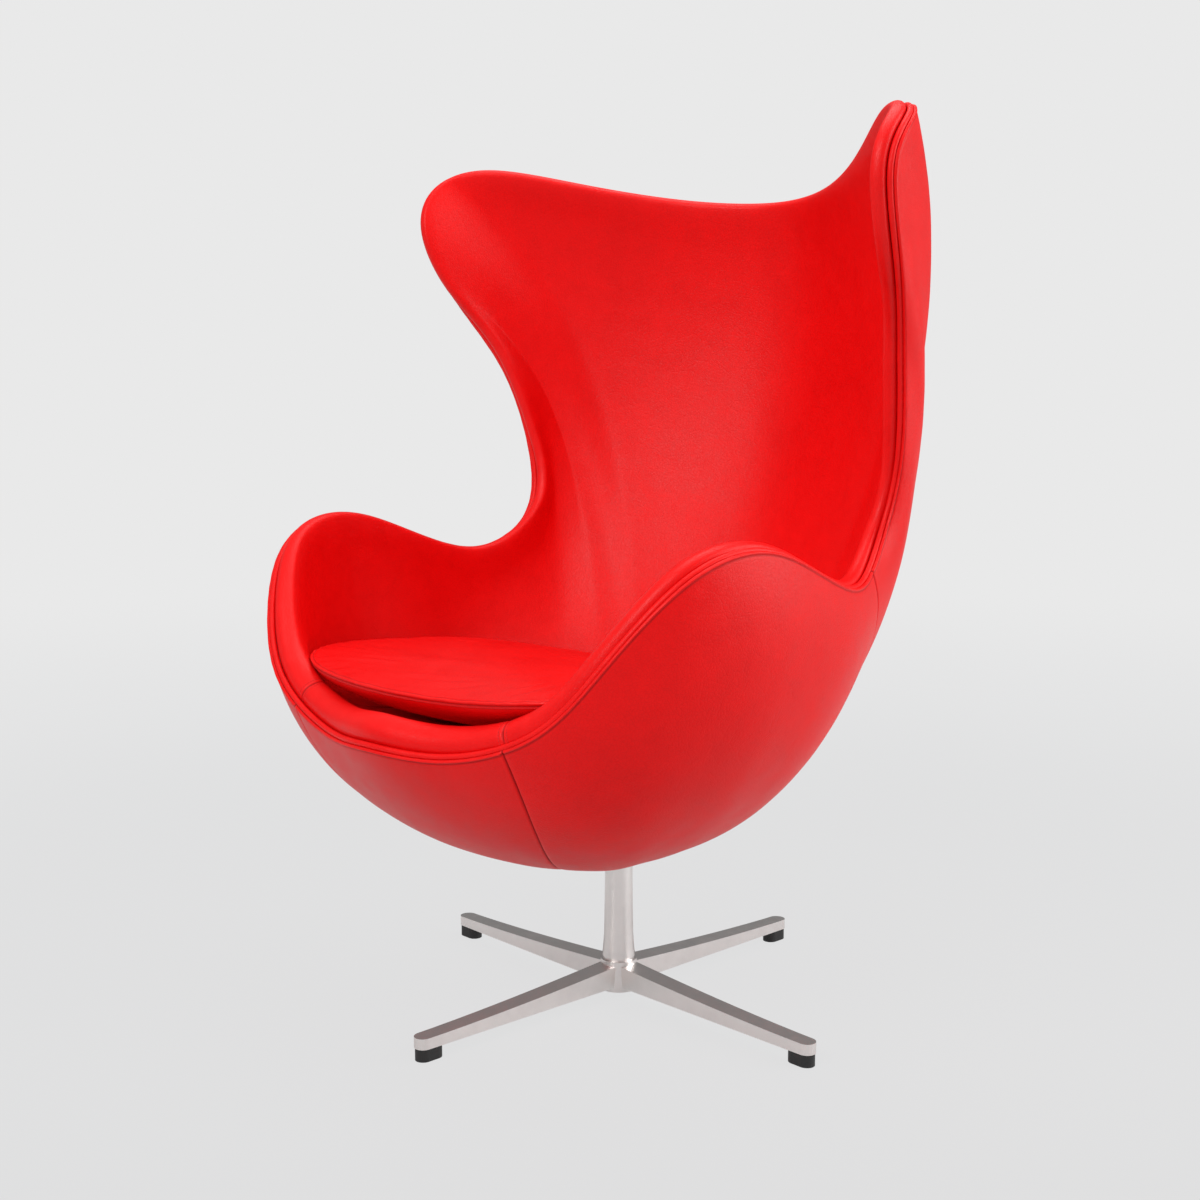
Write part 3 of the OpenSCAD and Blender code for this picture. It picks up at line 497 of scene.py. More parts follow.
@made_once
def dyed_leather(r, look):
    """Pebbled grain and soft mottling; painted shade in seams and grooves, and a lighter colour where edges
    wear and where highlights are painted on crests and ridges.
    """
    where = r.coordinates()
    worn = r.layer("worn")
    folded = r.layer("folded")
    cloud = r.noise(where, 7.0, 3.0, 0.55)
    patch = r.noise(where, 38.0, 4.0, 0.6, 0.4)
    speck = r.noise(where, 900.0)
    per_metre = 1.0 / look.grain_size
    warp = r.vector("SCALE", {0: r.noise(where, 160.0, 1.0, output="Color"), "Scale": 0.0022})
    bent = r.vector("ADD", {0: where, 1: warp})
    pebbles = r.cells(bent, per_metre, "SMOOTH_F1", Smoothness=0.35)
    valleys = r.cells(bent, per_metre * 0.55, "DISTANCE_TO_EDGE").between(0.0, 0.14)
    creases = r.cells(bent, 46.0, "DISTANCE_TO_EDGE").between(0.0, 0.05)
    fine = r.noise(where, 2600.0, 2.0, 0.6)
    shade = cloud * 0.5 + patch * 0.5
    tone = ((shade - 0.5) * 0.36 + 1.0) + (speck - 0.5) * 0.10 + (valleys - 1.0) * 0.07
    grey = r.node("ShaderNodeCombineColor", None, {"Red": tone, "Green": tone, "Blue": tone})
    tinted = r.blend(1.0, rgba(look.colour), grey, "MULTIPLY")
    # Partly wear and partly painted highlight: edges, crests and ridges get the lighter colour.
    rubbed_and_highlit = r.blend((worn * (patch * 0.9 + 0.35)).clamped(), tinted, rgba(look.worn))
    # Painted shade: seams, grooves and the rows behind the welt are darkened towards the shade colour.
    colour = r.blend((folded * 0.85).clamped(), rubbed_and_highlit, rgba(look.shade))
    rough = (patch - 0.5) * 0.16 + (cloud - 0.5) * 0.10 + look.dullness - worn * 0.06 + folded * 0.2
    height = valleys * 0.55 + (1.0 - pebbles) * 0.45 + fine * 0.12 + creases * 0.35
    return r.surface(
        Base_Color=colour, Roughness=rough, Normal=r.bump(height, 0.55, look.grain_depth),
        Specular_IOR_Level=0.22, IOR=1.45)


def red_leather(settings):
    return dyed_leather("red_leather", settings.leather)


@made_once
def waxed_thread(r, tint_of_thread):
    """Thread with a fine twist."""
    twist = r.noise(r.coordinates(), 2200.0, 1.0)
    colour = r.blend(twist, rgba(tint_of_thread, 0.8), rgba(tint_of_thread, 1.15))
    return r.surface(Base_Color=colour, Roughness=0.62, Normal=r.bump(twist, 0.4, 0.0002))


@made_once
def satin_metal(r, look):
    """Cast metal, ground to a satin, with faint grinding lines and handling marks."""
    where = r.coordinates()
    lines = r.noise(r.coordinates((60, 60, 900)), 3.0, 3.0, 0.6)
    marks = r.noise(where, 55.0, 5.0, 0.65)
    cloud = r.noise(where, 14.0, 3.0)
    spots = (marks * 0.6 + cloud * 0.5).clamped()
    colour = r.blend(spots, rgba(look.aluminium, 0.90), rgba(look.aluminium, 1.10))
    rough = (lines - 0.5) * 0.16 + (marks - 0.5) * 0.16 + look.dullness
    grain = r.bump(lines * 0.6 + marks * 0.4, 0.12, 0.0004)
    return r.surface(Base_Color=colour, Metallic=1.0, Roughness=rough, Normal=grain)


@made_once
def plain_finish(r, low, high, roughness, metallic, scale, relief):
    """Two close tones, uneven gloss and a fine surface."""
    where = r.coordinates()
    cloud = r.noise(where, scale, 4.0, 0.6)
    fine = r.noise(where, scale * 22)
    rough = (cloud - 0.5) * 0.14 + (fine - 0.5) * 0.08 + roughness
    return r.surface(Base_Color=r.blend(cloud, rgba(low), rgba(high)), Metallic=metallic, Roughness=rough,
                     Normal=r.bump(fine * 0.6 + cloud * 0.4, relief, 0.0003))


@made_once
def plywood(r):
    """Thin plies on the edges and a quiet grain on the faces."""
    plies = r.node("ShaderNodeTexWave", {"wave_type": "BANDS", "bands_direction": "Z"}, {
        "Vector": r.coordinates(), "Scale": 110.0, "Distortion": 0.6, "Detail": 2.0}, "Fac")
    grain = r.noise(r.coordinates((8, 120, 40)), 4.0, 4.0, 0.6)
    colour = r.blend((plies * 0.45 + grain * 0.5).clamped(), (0.34, 0.20, 0.10, 1), (0.66, 0.49, 0.30, 1))
    return r.surface(Base_Color=colour, Roughness=(grain - 0.5) * 0.2 + 0.62,
                     Normal=r.bump(plies * 0.5 + grain * 0.5, 0.25, 0.0004))


# ---------------------------------------------------------------- covers
WELT_INSET = 5.5  # distances from the outer face to the middle of the welt and to the roll
ROLL_INSET = 9.4
ROLL_POWER = 2.25  # a little squarer than round
ROLL_ROWS = 21
TURN_IN = 3.5  # how far a panel's edge is turned in at a seam
HEM_STEPS = [0, 0.7, 1.4, 2.1, 2.9, 3.8, 4.8, 6.2, 8.2, 11, 15]
SEAM_STEPS = [0.6, 0.7, 0.8, 1.0, 1.3, 1.8, 2.5, 3.4, 4.5]
INNER_STEPS = [0.7] * 12 + [1.0, 1.4, 2.0, 2.8, 3.9]
# Height, place and half width of the ridges and grooves of the hem beside the welt
HEM_RIDGES = [(0.9, 1.9, 1.0), (-0.6, 4.3, 1.1), (-1.3, 0, 0.9)]
OUTER_END, INNER_END = 0.15, 0.34  # values of v where the outer and the inner cover end
DECK_EDGE = 0.36
DECK_MIDDLE = -20.0
DECK_SINK = 0.4  # the lining lies this far below the seat floor


def columns_between(low, high, edge_steps, spacing):
    """Positions from 0 to 1 across a panel, close together beside its two seams."""
    t = np.linspace(low, high, 400)
    run = run_length(skin(t, 1.0)[None])[0]
    free = run[-1] - 2 * sum(edge_steps)
    middle = max(3, int(round(free / spacing)))
    gaps = np.array(edge_steps + [free / middle] * middle + edge_steps[::-1])
    share = np.concatenate([[0], np.cumsum(gaps)]) / gaps.sum()
    return np.interp(share * run[-1], run, (t - low) / (high - low))


def surface_normals(points):
    across = np.gradient(points, axis=1)
    down = np.gradient(points, axis=0)
    return unit(np.cross(across, down))


def seam_profile(distance, covers):
    """Height of the leather beside a seam: a narrow groove, then a soft stand."""
    groove, puff = covers.seam_groove * 1000, covers.puff * 1000
    return puff * (1 - np.exp(-distance / 7.0)) - groove * hump(distance, 1.5)


def dress(piece, body, material, nodes=()):
    """Gives a finished piece its material, the body it rides on and the CAD nodes it stands for."""
    piece.data.materials.clear()
    piece.data.materials.append(material)
    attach(piece, body)
    if nodes:
        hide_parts(*nodes)


def sewn_panel(name, points, into, worn, folded, tucked, flip, settings, nodes):
    """Folds a panel in along its two side seams and makes it a piece; its first rows lie behind the welt."""
    points = np.concatenate([
        points[:, :1] + into[:, :1] * TURN_IN, points, points[:, -1:] + into[:, -1:] * TURN_IN], axis=1)
    rows, columns = points.shape[:2]
    margins = ((rows - len(worn) - 1, 1), (1, 1))
    worn, folded = np.pad(worn, margins, "edge"), np.pad(folded, margins, "edge")
    # Painted shade: the rows tucked behind the welt are darkened.
    folded[:tucked] = np.maximum(folded[:tucked], 0.8)
    piece = mesh_object(name, place(points.reshape(-1, 3)), grid_faces(rows, columns, flip=flip),
                        {"worn": worn, "folded": folded})
    dress(piece, "shell", red_leather(settings), nodes)
    return piece


def to_nearest_seam(run):
    return np.minimum(run, run[:, -1:] - run)


def outer_panel(name, left, right, settings, nodes, seed):
    """One panel of the outer cover, turned in at its two seams, at the welt and at the underside."""
    covers = settings.covers
    spacing = covers.spacing * 1000
    u = columns_between(left(1.0), right(1.0), SEAM_STEPS, spacing)

    def column_at(v):
        return left(v) + u * (right(v) - left(v))

    v, from_rim = meridian_rows(column_at, OUTER_END, HEM_STEPS, spacing)
    t = column_at(v)
    p, n = skin(t, v), inward(t, v)
    run = run_length(p)
    to_seam = to_nearest_seam(run)
    waves = soft_waves(p, 150, seed) + 0.35 * soft_waves(p, 46, seed + 1)
    tug = 0.16 * np.sin(run / 4.1 + 1.7 * np.sin(run / 23)) * np.exp(-from_rim / 9.0)
    lift = (seam_profile(to_seam, covers) + covers.unevenness * 1000 * waves * smooth_step(from_rim / 30)
            + ridges(from_rim, HEM_RIDGES) + tug)
    face = p - n * lift[..., None]
    edge, wall, beyond = rim_frames(column_at(1.0))
    tucked = np.stack([edge + wall * 2.2 - beyond * 4.5, edge + wall * 1.9 - beyond * 0.3])
    points = np.concatenate([tucked, face, (face[-1] + n[-1] * 2.5)[None]])
    into = np.concatenate([wall[None], wall[None], n, n[-1:]])
    # Wear and painted highlight: lighter on the hem's ridge beside the welt and on the puff beside the seams.
    worn = 0.55 * hump(from_rim - 2.0, 1.6) + 0.25 * hump(to_seam - 3.5, 2.0)
    # Painted shade in the seam grooves and in the hem's groove beside the welt.
    folded = np.maximum(hump(to_seam, 1.1), 0.7 * hump(from_rim - 4.3, 0.9))
    sewn_panel(name, points, into, worn, folded, 1, True, settings, nodes)


def roll_rows(t):
    """The padded roll over the rim, from behind the welt over the crest to the inside."""
    edge, wall, beyond = rim_frames(t)
    thickness = by_station(EDGE, t)
    radius = ((thickness - ROLL_INSET) / 2)[:, None]
    crest = by_station(CREST, t)[:, None]
    middle = edge + wall * (ROLL_INSET + radius) + beyond * (crest - radius)
    power = 2 / ROLL_POWER
    rows = [middle - wall * radius * 0.9 - beyond * (radius + 2.0),
            middle - wall * radius - beyond * radius * 0.45]
    for a in np.radians(np.linspace(180, 0, ROLL_ROWS)):
        rows.append(middle + wall * radius * signed_power(np.cos(a), power)
                    + beyond * radius * abs(np.sin(a)) ** power)
    return np.stack(rows), thickness


def eased(points, first, last):
    """Smooths the rows between two levels, so that the roll runs into the inside without a crease."""
    level = np.arange(1, len(points) - 1)[:, None, None]
    share = 0.5 * smooth_step((level - first) / 5) * smooth_step((last - level) / 7)
    points = points.copy()
    for _ in range(36):
        points[1:-1] += share * ((points[:-2] + points[2:]) / 2 - points[1:-1])
    return points


def inner_panel(name, low, high, settings, nodes, seed):
    """One panel of the inner cover: over the roll, down the inside and under the cushion."""
    covers = settings.covers
    spacing = covers.spacing * 1000
    t = low + columns_between(low, high, INNER_STEPS, spacing) * (high - low)
    roll, thickness = roll_rows(t)
    v, from_rim = meridian_rows(lambda v: leaning(t, v), INNER_END, [4, 8, 12.5, 17.5, 23], spacing)
    grid_t = leaning(t, v)
    p, n = skin(grid_t, v), inward(grid_t, v)
    reach = thickness + (depth(grid_t, p, n) - thickness) * smooth_step(from_rim / 55)
    over = len(roll)
    points = eased(np.concatenate([roll, p + n * reach[..., None]]), over - 7, over + 12)
    normals = surface_normals(points)
    run = run_length(points)
    to_seam = to_nearest_seam(run)
    level = np.arange(len(points))[:, None] * np.ones_like(run)
    shown = smooth_step((level - 2) / 5)
    dent = 0.30 * hump(to_seam - settings.stitches.margin * 1000, 1.1)
    waves = soft_waves(points, 170, seed) + 0.3 * soft_waves(points, 52, seed + 1)
    waves = waves * smooth_step((points[..., 2] - 430) / 60) * smooth_step((level - over) / 8)
    lift = ((seam_profile(to_seam, covers) - dent) * shown + covers.unevenness * 1000 * waves
            + waist_folds(t, run, level, over))
    face = points + normals * lift[..., None]
    whole = np.concatenate([face, (face[-1] - np.array([0, 0, 2.5]))[None]])
    into = -np.concatenate([normals, normals[-1:]])
    # Wear and painted highlight: lighter along the crest of the roll and on the puff beside the seams.
    worn = 0.5 * hump(level - 12, 5.5) + 0.25 * hump(to_seam - 3.5, 2.0)
    # Painted shade in the seam grooves and on the first three rows, behind the welt.
    piece = sewn_panel(name, whole, into, worn, hump(to_seam, 1.1) * shown, 3, False, settings, nodes)
    return piece, face, normals, run


def waist_folds(t, run, level, over):
    """Small folds where the leather is gathered over the roll of the waist, on both sides."""
    gather = hump(from_front(t) - WAIST, 1.5)[None, :]
    gather = gather * smooth_step((level - 3) / 4) * smooth_step((over + 7 - level) / 9)
    ripple = np.sin(run / 3.4 + 2.2 * np.sin(run / 31.0)) * (0.6 + 0.4 * np.sin(run / 13.0))
    return 0.22 * gather * ripple


def seat_deck_panel():
    """The plain lining under the cushion, closed to one point in its middle."""
    t = np.linspace(0, TURN, 361)[:-1]
    p, n = skin(t, DECK_EDGE), inward(t, DECK_EDGE)
    outer = p + n * depth(t, p, n)[:, None]
    rise = outer[:, 2] - floor_at(outer[:, 1])
    middle = np.array([0.0, DECK_MIDDLE, floor_at(DECK_MIDDLE) - DECK_SINK])
    rings = []
    for share in np.concatenate([[1.0, 0.985, 0.97], np.linspace(0.93, 0.04, 24)]):
        ring_points = middle + (outer - middle) * share
        ring_points[:, 2] = floor_at(ring_points[:, 1]) + rise * share ** 3 - DECK_SINK
        rings.append(ring_points)
    rings[0][:, 2] -= 1.6
    rows, columns = len(rings), len(t)
    faces = grid_faces(rows, columns, wrap=True)
    last = (rows - 1) * columns
    faces += [[last + j, last + (j + 1) % columns, rows * columns] for j in range(columns)]
    piece = mesh_object("seat_deck_lining", place(np.concatenate(rings + [middle[None]])), faces)
    # Near black, so that the gap under the cushion's front shows black.
    lining = plain_finish(
        "black_lining_cloth", (0.006, 0.006, 0.006), (0.014, 0.013, 0.013), 0.85, 0.0, 420.0, 0.4)
    dress(piece, "shell", lining, ["seat_deck"])


# ---------------------------------------------------------------- welt and thread, by Geometry Nodes
def path_tree(name, sizes, step, shape):
    """A Geometry Nodes tree that follows a path in even steps and lays a shape along it."""
    tree = bpy.data.node_groups.new(name, "GeometryNodeTree")
    tree.interface.new_socket("Geometry", in_out="INPUT", socket_type="NodeSocketGeometry")
    for label, value in sizes.items():
        socket = tree.interface.new_socket(label, in_out="INPUT", socket_type="NodeSocketFloat")
        socket.default_value = value
        socket.subtype = "DISTANCE"
    tree.interface.new_socket("Finish", in_out="INPUT", socket_type="NodeSocketMaterial")
    tree.interface.new_socket("Geometry", in_out="OUTPUT", socket_type="NodeSocketGeometry")
    given = add_node(tree, "NodeGroupInput").outputs

    def add(kind, inputs=None, **settings):
        return add_node(tree, kind, settings, inputs).outputs[0]

    line = add("GeometryNodeMeshToCurve", {"Mesh": given["Geometry"]})
    even = add("GeometryNodeResampleCurve", {"Curve": line, "Length": given[step]}, mode="LENGTH")
    real = add("GeometryNodeRealizeInstances", {0: shape(add, given, even)})
    smooth = add("GeometryNodeSetShadeSmooth", {0: real})
    painted = add("GeometryNodeSetMaterial", {"Geometry": smooth, "Material": given["Finish"]})
    add_node(tree, "NodeGroupOutput", None, {0: painted})
    return tree


def cord_shape(add, given, path):
    """A round cord with faint ripples."""
    circle = add("GeometryNodeCurvePrimitiveCircle", {"Resolution": 14, "Radius": given["Radius"]})
    swept = add("GeometryNodeCurveToMesh", {"Curve": path, "Profile Curve": circle})
    uneven = add("ShaderNodeTexNoise", {"Scale": 210.0, "Detail": 2.0})
    centred = add("ShaderNodeMath", {0: uneven, 1: 0.5}, operation="SUBTRACT")
    height = add("ShaderNodeMath", {0: centred, 1: given["Ripple"]}, operation="MULTIPLY")
    normal = add("GeometryNodeInputNormal")
    push = add("ShaderNodeVectorMath", {0: normal, "Scale": height}, operation="SCALE")
    return add("GeometryNodeSetPosition", {"Geometry": swept, "Offset": push})


def stitch_shape(add, given, path):
    """One short bead of thread after another."""
    half, thin = (add("ShaderNodeMath", {0: given[label], 1: 0.5}, operation="MULTIPLY")
                  for label in ("Stitch length", "Thread thickness"))
    bead = add("GeometryNodeMeshUVSphere", {"Segments": 6, "Rings": 5, "Radius": 1.0})
    size = add("ShaderNodeCombineXYZ", {"X": thin, "Y": thin, "Z": half})
    shaped = add("GeometryNodeTransform", {"Geometry": bead, "Scale": size})
    turned = add("FunctionNodeAlignRotationToVector", {"Vector": add("GeometryNodeInputTangent")}, axis="Z")
    return add("GeometryNodeInstanceOnPoints", {"Points": path, "Instance": shaped, "Rotation": turned})


def path_object(name, lines, closed=False):
    """Rows of points joined by edges, one row after another, in metres."""
    vertices, edges = [], []
    for line in lines:
        first = len(vertices)
        vertices += [tuple(p) for p in line]
        edges += [(first + k, first + k + 1) for k in range(len(line) - 1)]
        if closed:
            edges.append((first + len(line) - 1, first))
    mesh = bpy.data.meshes.new(name)
    mesh.from_pydata(vertices, edges, [])
    return linked(name, mesh)


def grown(piece, tree, finish):
    """Runs a tree on a path and keeps the result as the piece's plain mesh."""
    step = piece.modifiers.new("grow", "NODES")
    step.node_group = tree
    step[tree.interface.items_tree["Finish"].identifier] = finish
    mesh = bpy.data.meshes.new_from_object(evaluated(piece))
    piece.modifiers.clear()
    piece.data = mesh
    mesh.name = piece.name
    if not len(mesh.polygons):
        raise RuntimeError("no faces were grown for " + piece.name)


def beside_seam(points, distance, margin):
    """The point of a row that lies a margin away from its seam."""
    order = np.argsort(distance)
    return [np.interp(margin, distance[order], points[order, k]) for k in range(3)]


# ---------------------------------------------------------------- loose cushion
# Reach of the seam from the cushion's middle, heights above the seat floor and the fullness of both sides
CUSHION = {"half_width": 276.0, "front": 242.0, "back": 228.0, "forward": 105.0, "seam": 46.0, "crown": 22.0,
           "side_rise": 24.0, "belly": 46.0, "rest": 2.5}
FRONT_POWER, BACK_POWER = 3.4, 2.3  # squareness of the plan
ANGLES = np.linspace(0, 2 * math.pi, 288, endpoint=False)
NEAR_SEAM = [0, 0.6, 1.2, 1.9, 2.7, 3.6, 4.6, 5.8, 7.4, 9.5, 12.5]
# Height, distance below the seam and half width of the ridges and grooves beside the cushion's seam
SEAM_RIDGES = [(1.5, 0, 1.5), (-1.1, 3.2, 0.9), (-0.7, -3.0, 1.1), (0.35, 5.0, 1.0), (-0.45, 6.6, 0.9)]
FILLING_STEPS = 20
FILLING = {"quality": 6, "mass": 0.35, "tension_stiffness": 12, "compression_stiffness": 12,
           "shear_stiffness": 6, "bending_stiffness": 0.8, "use_pressure": True}


def bulge(share):
    return np.sqrt(np.maximum(1 - share ** 2.6, 0))


def cushion_outline(share, height):
    """A ring of the cushion at a share of its plan, a height above the sloping seat floor."""
    ahead = np.cos(ANGLES)
    power = 2 / np.where(ahead > 0, FRONT_POWER, BACK_POWER)
    side, front = signed_power(np.sin(ANGLES), power), signed_power(ahead, power)
    reach = np.where(ahead > 0, CUSHION["front"], CUSHION["back"])
    x = CUSHION["half_width"] * share * side
    y = -CUSHION["forward"] - reach * share * front
    return np.stack([x, y, floor_at(y) + height + CUSHION["side_rise"] * (share * side) ** 2], -1)


def shares_by_length(rise, near_seam, spacing):
    """Shares of the plan whose rings lie evenly along the cover, and close together at the seam."""
    s = np.linspace(0.03, 1, 3000)
    run = np.concatenate([[0], np.cumsum(np.hypot(245 * np.diff(s), rise * np.diff(bulge(s))))])
    total = run[-1]
    count = int((total - near_seam[-1]) / spacing)
    even = np.linspace(0, total - near_seam[-1], count, endpoint=False)
    ends = total - np.array(near_seam[::-1])
    return np.interp(np.concatenate([even, ends]), run, s)


def cushion_rings():
    """Rings over the top from the middle to the seam and under it back to the middle."""
    top = shares_by_length(CUSHION["crown"], NEAR_SEAM, 6.0)
    under = shares_by_length(CUSHION["belly"], NEAR_SEAM, 6.0)[::-1][1:]
    seam = CUSHION["seam"]
    rings = [cushion_outline(s, seam + (CUSHION["crown"] - 5.0) * bulge(s)) for s in top]
    rings += [cushion_outline(s, max(seam - CUSHION["belly"] * bulge(s), CUSHION["rest"])) for s in under]
    return np.stack(rings), len(top) - 1, np.concatenate([top, under])


def closed_stack(rings):
    """Points and faces of a ring stack whose two ends meet in a point each; those points come last."""
    rows, columns = rings.shape[:2]
    points = place(np.concatenate([rings.reshape(-1, 3), [rings[0].mean(0), rings[-1].mean(0)]]))
    faces = grid_faces(rows, columns, wrap=True)
    top, bottom, last = rows * columns, rows * columns + 1, (rows - 1) * columns
    for j in range(columns):
        k = (j + 1) % columns
        faces += [[top, k, j], [bottom, last + j, last + k]]
    return points, faces


def positions(piece):
    return np.array([v.co[:] for v in piece.data.vertices])


def evaluated(piece):
    return piece.evaluated_get(bpy.context.evaluated_depsgraph_get())


def inflated(rings):
    """How far each point of the cushion's cover moves when its filling pushes it out."""
    scene = bpy.context.scene
    form = scene.lounge_chair.cushion
    points, faces = closed_stack(rings)
    cloth = mesh_object("cushion_cloth", points, faces)
    bpy.context.view_layer.objects.active = cloth
    remesh = cloth.modifiers.new("even", "REMESH")
    remesh.mode = "VOXEL"
    remesh.voxel_size = form.voxel
    even = bpy.data.meshes.new_from_object(evaluated(cloth))
    cloth.modifiers.clear()
    cloth.data = even
    start = positions(cloth)
    local = (start - np.array(AXIS)) * 1000
    side = np.clip(local[:, 0] / CUSHION["half_width"], -1, 1)
    seam_height = floor_at(local[:, 1]) + CUSHION["seam"] + CUSHION["side_rise"] * side ** 2
    held = np.nonzero(local[:, 2] < seam_height + 3.0)[0]
    cloth.vertex_groups.new(name="held").add(held.tolist(), 1.0, "REPLACE")
    sim = cloth.modifiers.new("filling", "CLOTH")
    for name, value in FILLING.items():
        setattr(sim.settings, name, value)
    sim.settings.uniform_pressure_force = form.pressure
    sim.settings.vertex_group_mass = "held"
    sim.settings.effector_weights.gravity = 0
    sim.point_cache.frame_start = 1
    sim.point_cache.frame_end = FILLING_STEPS
    for number in range(1, FILLING_STEPS + 1):
        scene.frame_set(number)
    move = positions(evaluated(cloth)) - start
    far = np.linalg.norm(move, axis=1, keepdims=True)
    move = move * np.minimum(1, form.swell / np.maximum(far, 1e-9))
    corners_of = [tuple(f.vertices) for f in even.polygons]
    tree = BVHTree.FromPolygons([tuple(p) for p in start], corners_of)
    result = np.zeros((len(points), 3))
    for index, point in enumerate(points):
        corners = list(corners_of[tree.find_nearest(Vector(point))[2]])
        weights = 1 / (np.linalg.norm(start[corners] - point, axis=1) + 1e-6)
        result[index] = (move[corners] * weights[:, None]).sum(0) / weights.sum()
    scene.frame_set(1)
    bpy.data.objects.remove(cloth, do_unlink=True)
    print("cushion cover moved by up to %.1f mm" % (np.linalg.norm(result, axis=1).max() * 1000))
    return result[:-2].reshape(rings.shape) * 1000


def top_creases(share, seam_row):
    """Short rumples along the front shoulder of the top, where the cover is loose."""
    side = np.where(ANGLES > math.pi, ANGLES - 2 * math.pi, ANGLES)
    s = share[:, None]
    top = (np.arange(len(share)) < seam_row)[:, None]
    band = hump(s - 0.80 - 0.03 * np.sin(side * 5), 0.10) * smooth_step((1.15 - np.abs(side + 0.1)) / 0.5)
    wave = np.sin(side * 34 + s * 46 + 1.2 * np.sin(side * 9)) * (0.55 + 0.45 * np.sin(side * 13 + 1.0))
    edge = np.sin(side * 61 + 1.3 * np.sin(side * 17)) * hump(s - 1.0, 0.045) * 0.35
    broad = np.sin(side * 7 + s * 9) * hump(s - 0.6, 0.25) * 0.5
    return (band * signed_power(wave, 1.3) + edge + broad) * top


# ---------------------------------------------------------------- operators
SEWN_ROWS = {}  # by body, the paths that the stitching follows
THREAD_LIFT = 0.12  # height of the threads' middle above the leather


class SHELL_OT_outer_leather(bpy.types.Operator):
    """Makes the four panels of the outer cover, sewn together in front and under the wings"""

    bl_idname = "lounge_chair.outer_leather"
    bl_label = "Outer leather"

    def execute(self, context):
        settings = context.scene.lounge_chair

        def fixed(value):
            return lambda v: value + 0 * np.asarray(v, float)

        def mirrored(v):
            return TURN - rear_seam_at(v)

        for name, left, right, seed in (
                ("outer_front_{}", fixed(-FRONT_SEAM), fixed(FRONT_SEAM), 11),
                ("outer_side_{}_right", fixed(FRONT_SEAM), rear_seam_at, 21),
                ("outer_side_{}_left", mirrored, fixed(TURN - FRONT_SEAM), 31),
                ("outer_back_{}", rear_seam_at, mirrored, 41)):
            outer_panel(name.format("leather"), left, right, settings, [name.format("cover")], seed)
        return {"FINISHED"}


class SHELL_OT_inner_leather(bpy.types.Operator):
    """Makes the roll over the rim, the inside of the seat and back, and the lining under the cushion"""

    bl_idname = "lounge_chair.inner_leather"
    bl_label = "Inner leather"

    def execute(self, context):
        settings = context.scene.lounge_chair
        panels = (
            inner_panel("inner_front_leather", -FRONT_SEAM, FRONT_SEAM, settings, ["inner_front_cover"], 51),
            inner_panel("inner_back_leather", FRONT_SEAM, TURN - FRONT_SEAM, settings,
                        ["inner_back_cover", "foam_padding"], 61))
        seat_deck_panel()
        margin = settings.stitches.margin * 1000
        SEWN_ROWS["shell"] = []
        for piece, face, normals, run in panels:
            thread = face + normals * THREAD_LIFT
            for distance in (run, run[:, -1:] - run):
                line = [beside_seam(thread[i], distance[i], margin) for i in range(4, len(face))]
                SEWN_ROWS["shell"].append(place(line))
        return {"FINISHED"}


class SHELL_OT_rim_welt(bpy.types.Operator):
    """Sews the leather cord between the inner and the outer cover, all round the rim"""

    bl_idname = "lounge_chair.rim_welt"
    bl_label = "Rim welt"

    def execute(self, context):
        settings = context.scene.lounge_chair
        t = np.linspace(0, TURN, 1801)[:-1]
        edge, wall, beyond = rim_frames(t)
        line = place(edge + wall * WELT_INSET + beyond * 0.4)
        piece = path_object("rim_cord", [line], closed=True)
        sizes = {"Radius": settings.covers.welt / 2, "Step": 0.0026, "Ripple": 0.0005}
        tree = path_tree("cord_along_path", sizes, "Step", cord_shape)
        grown(piece, tree, red_leather(settings))
        # Wear and painted highlight: the whole cord is made a little lighter.
        rubbed_and_highlit = piece.data.attributes.new("worn", "FLOAT", "POINT")
        rubbed_and_highlit.data.foreach_set("value", np.full(len(piece.data.vertices), 0.35, np.float32))
        dress(piece, "shell", red_leather(settings), ["rim_welt"])
        return {"FINISHED"}


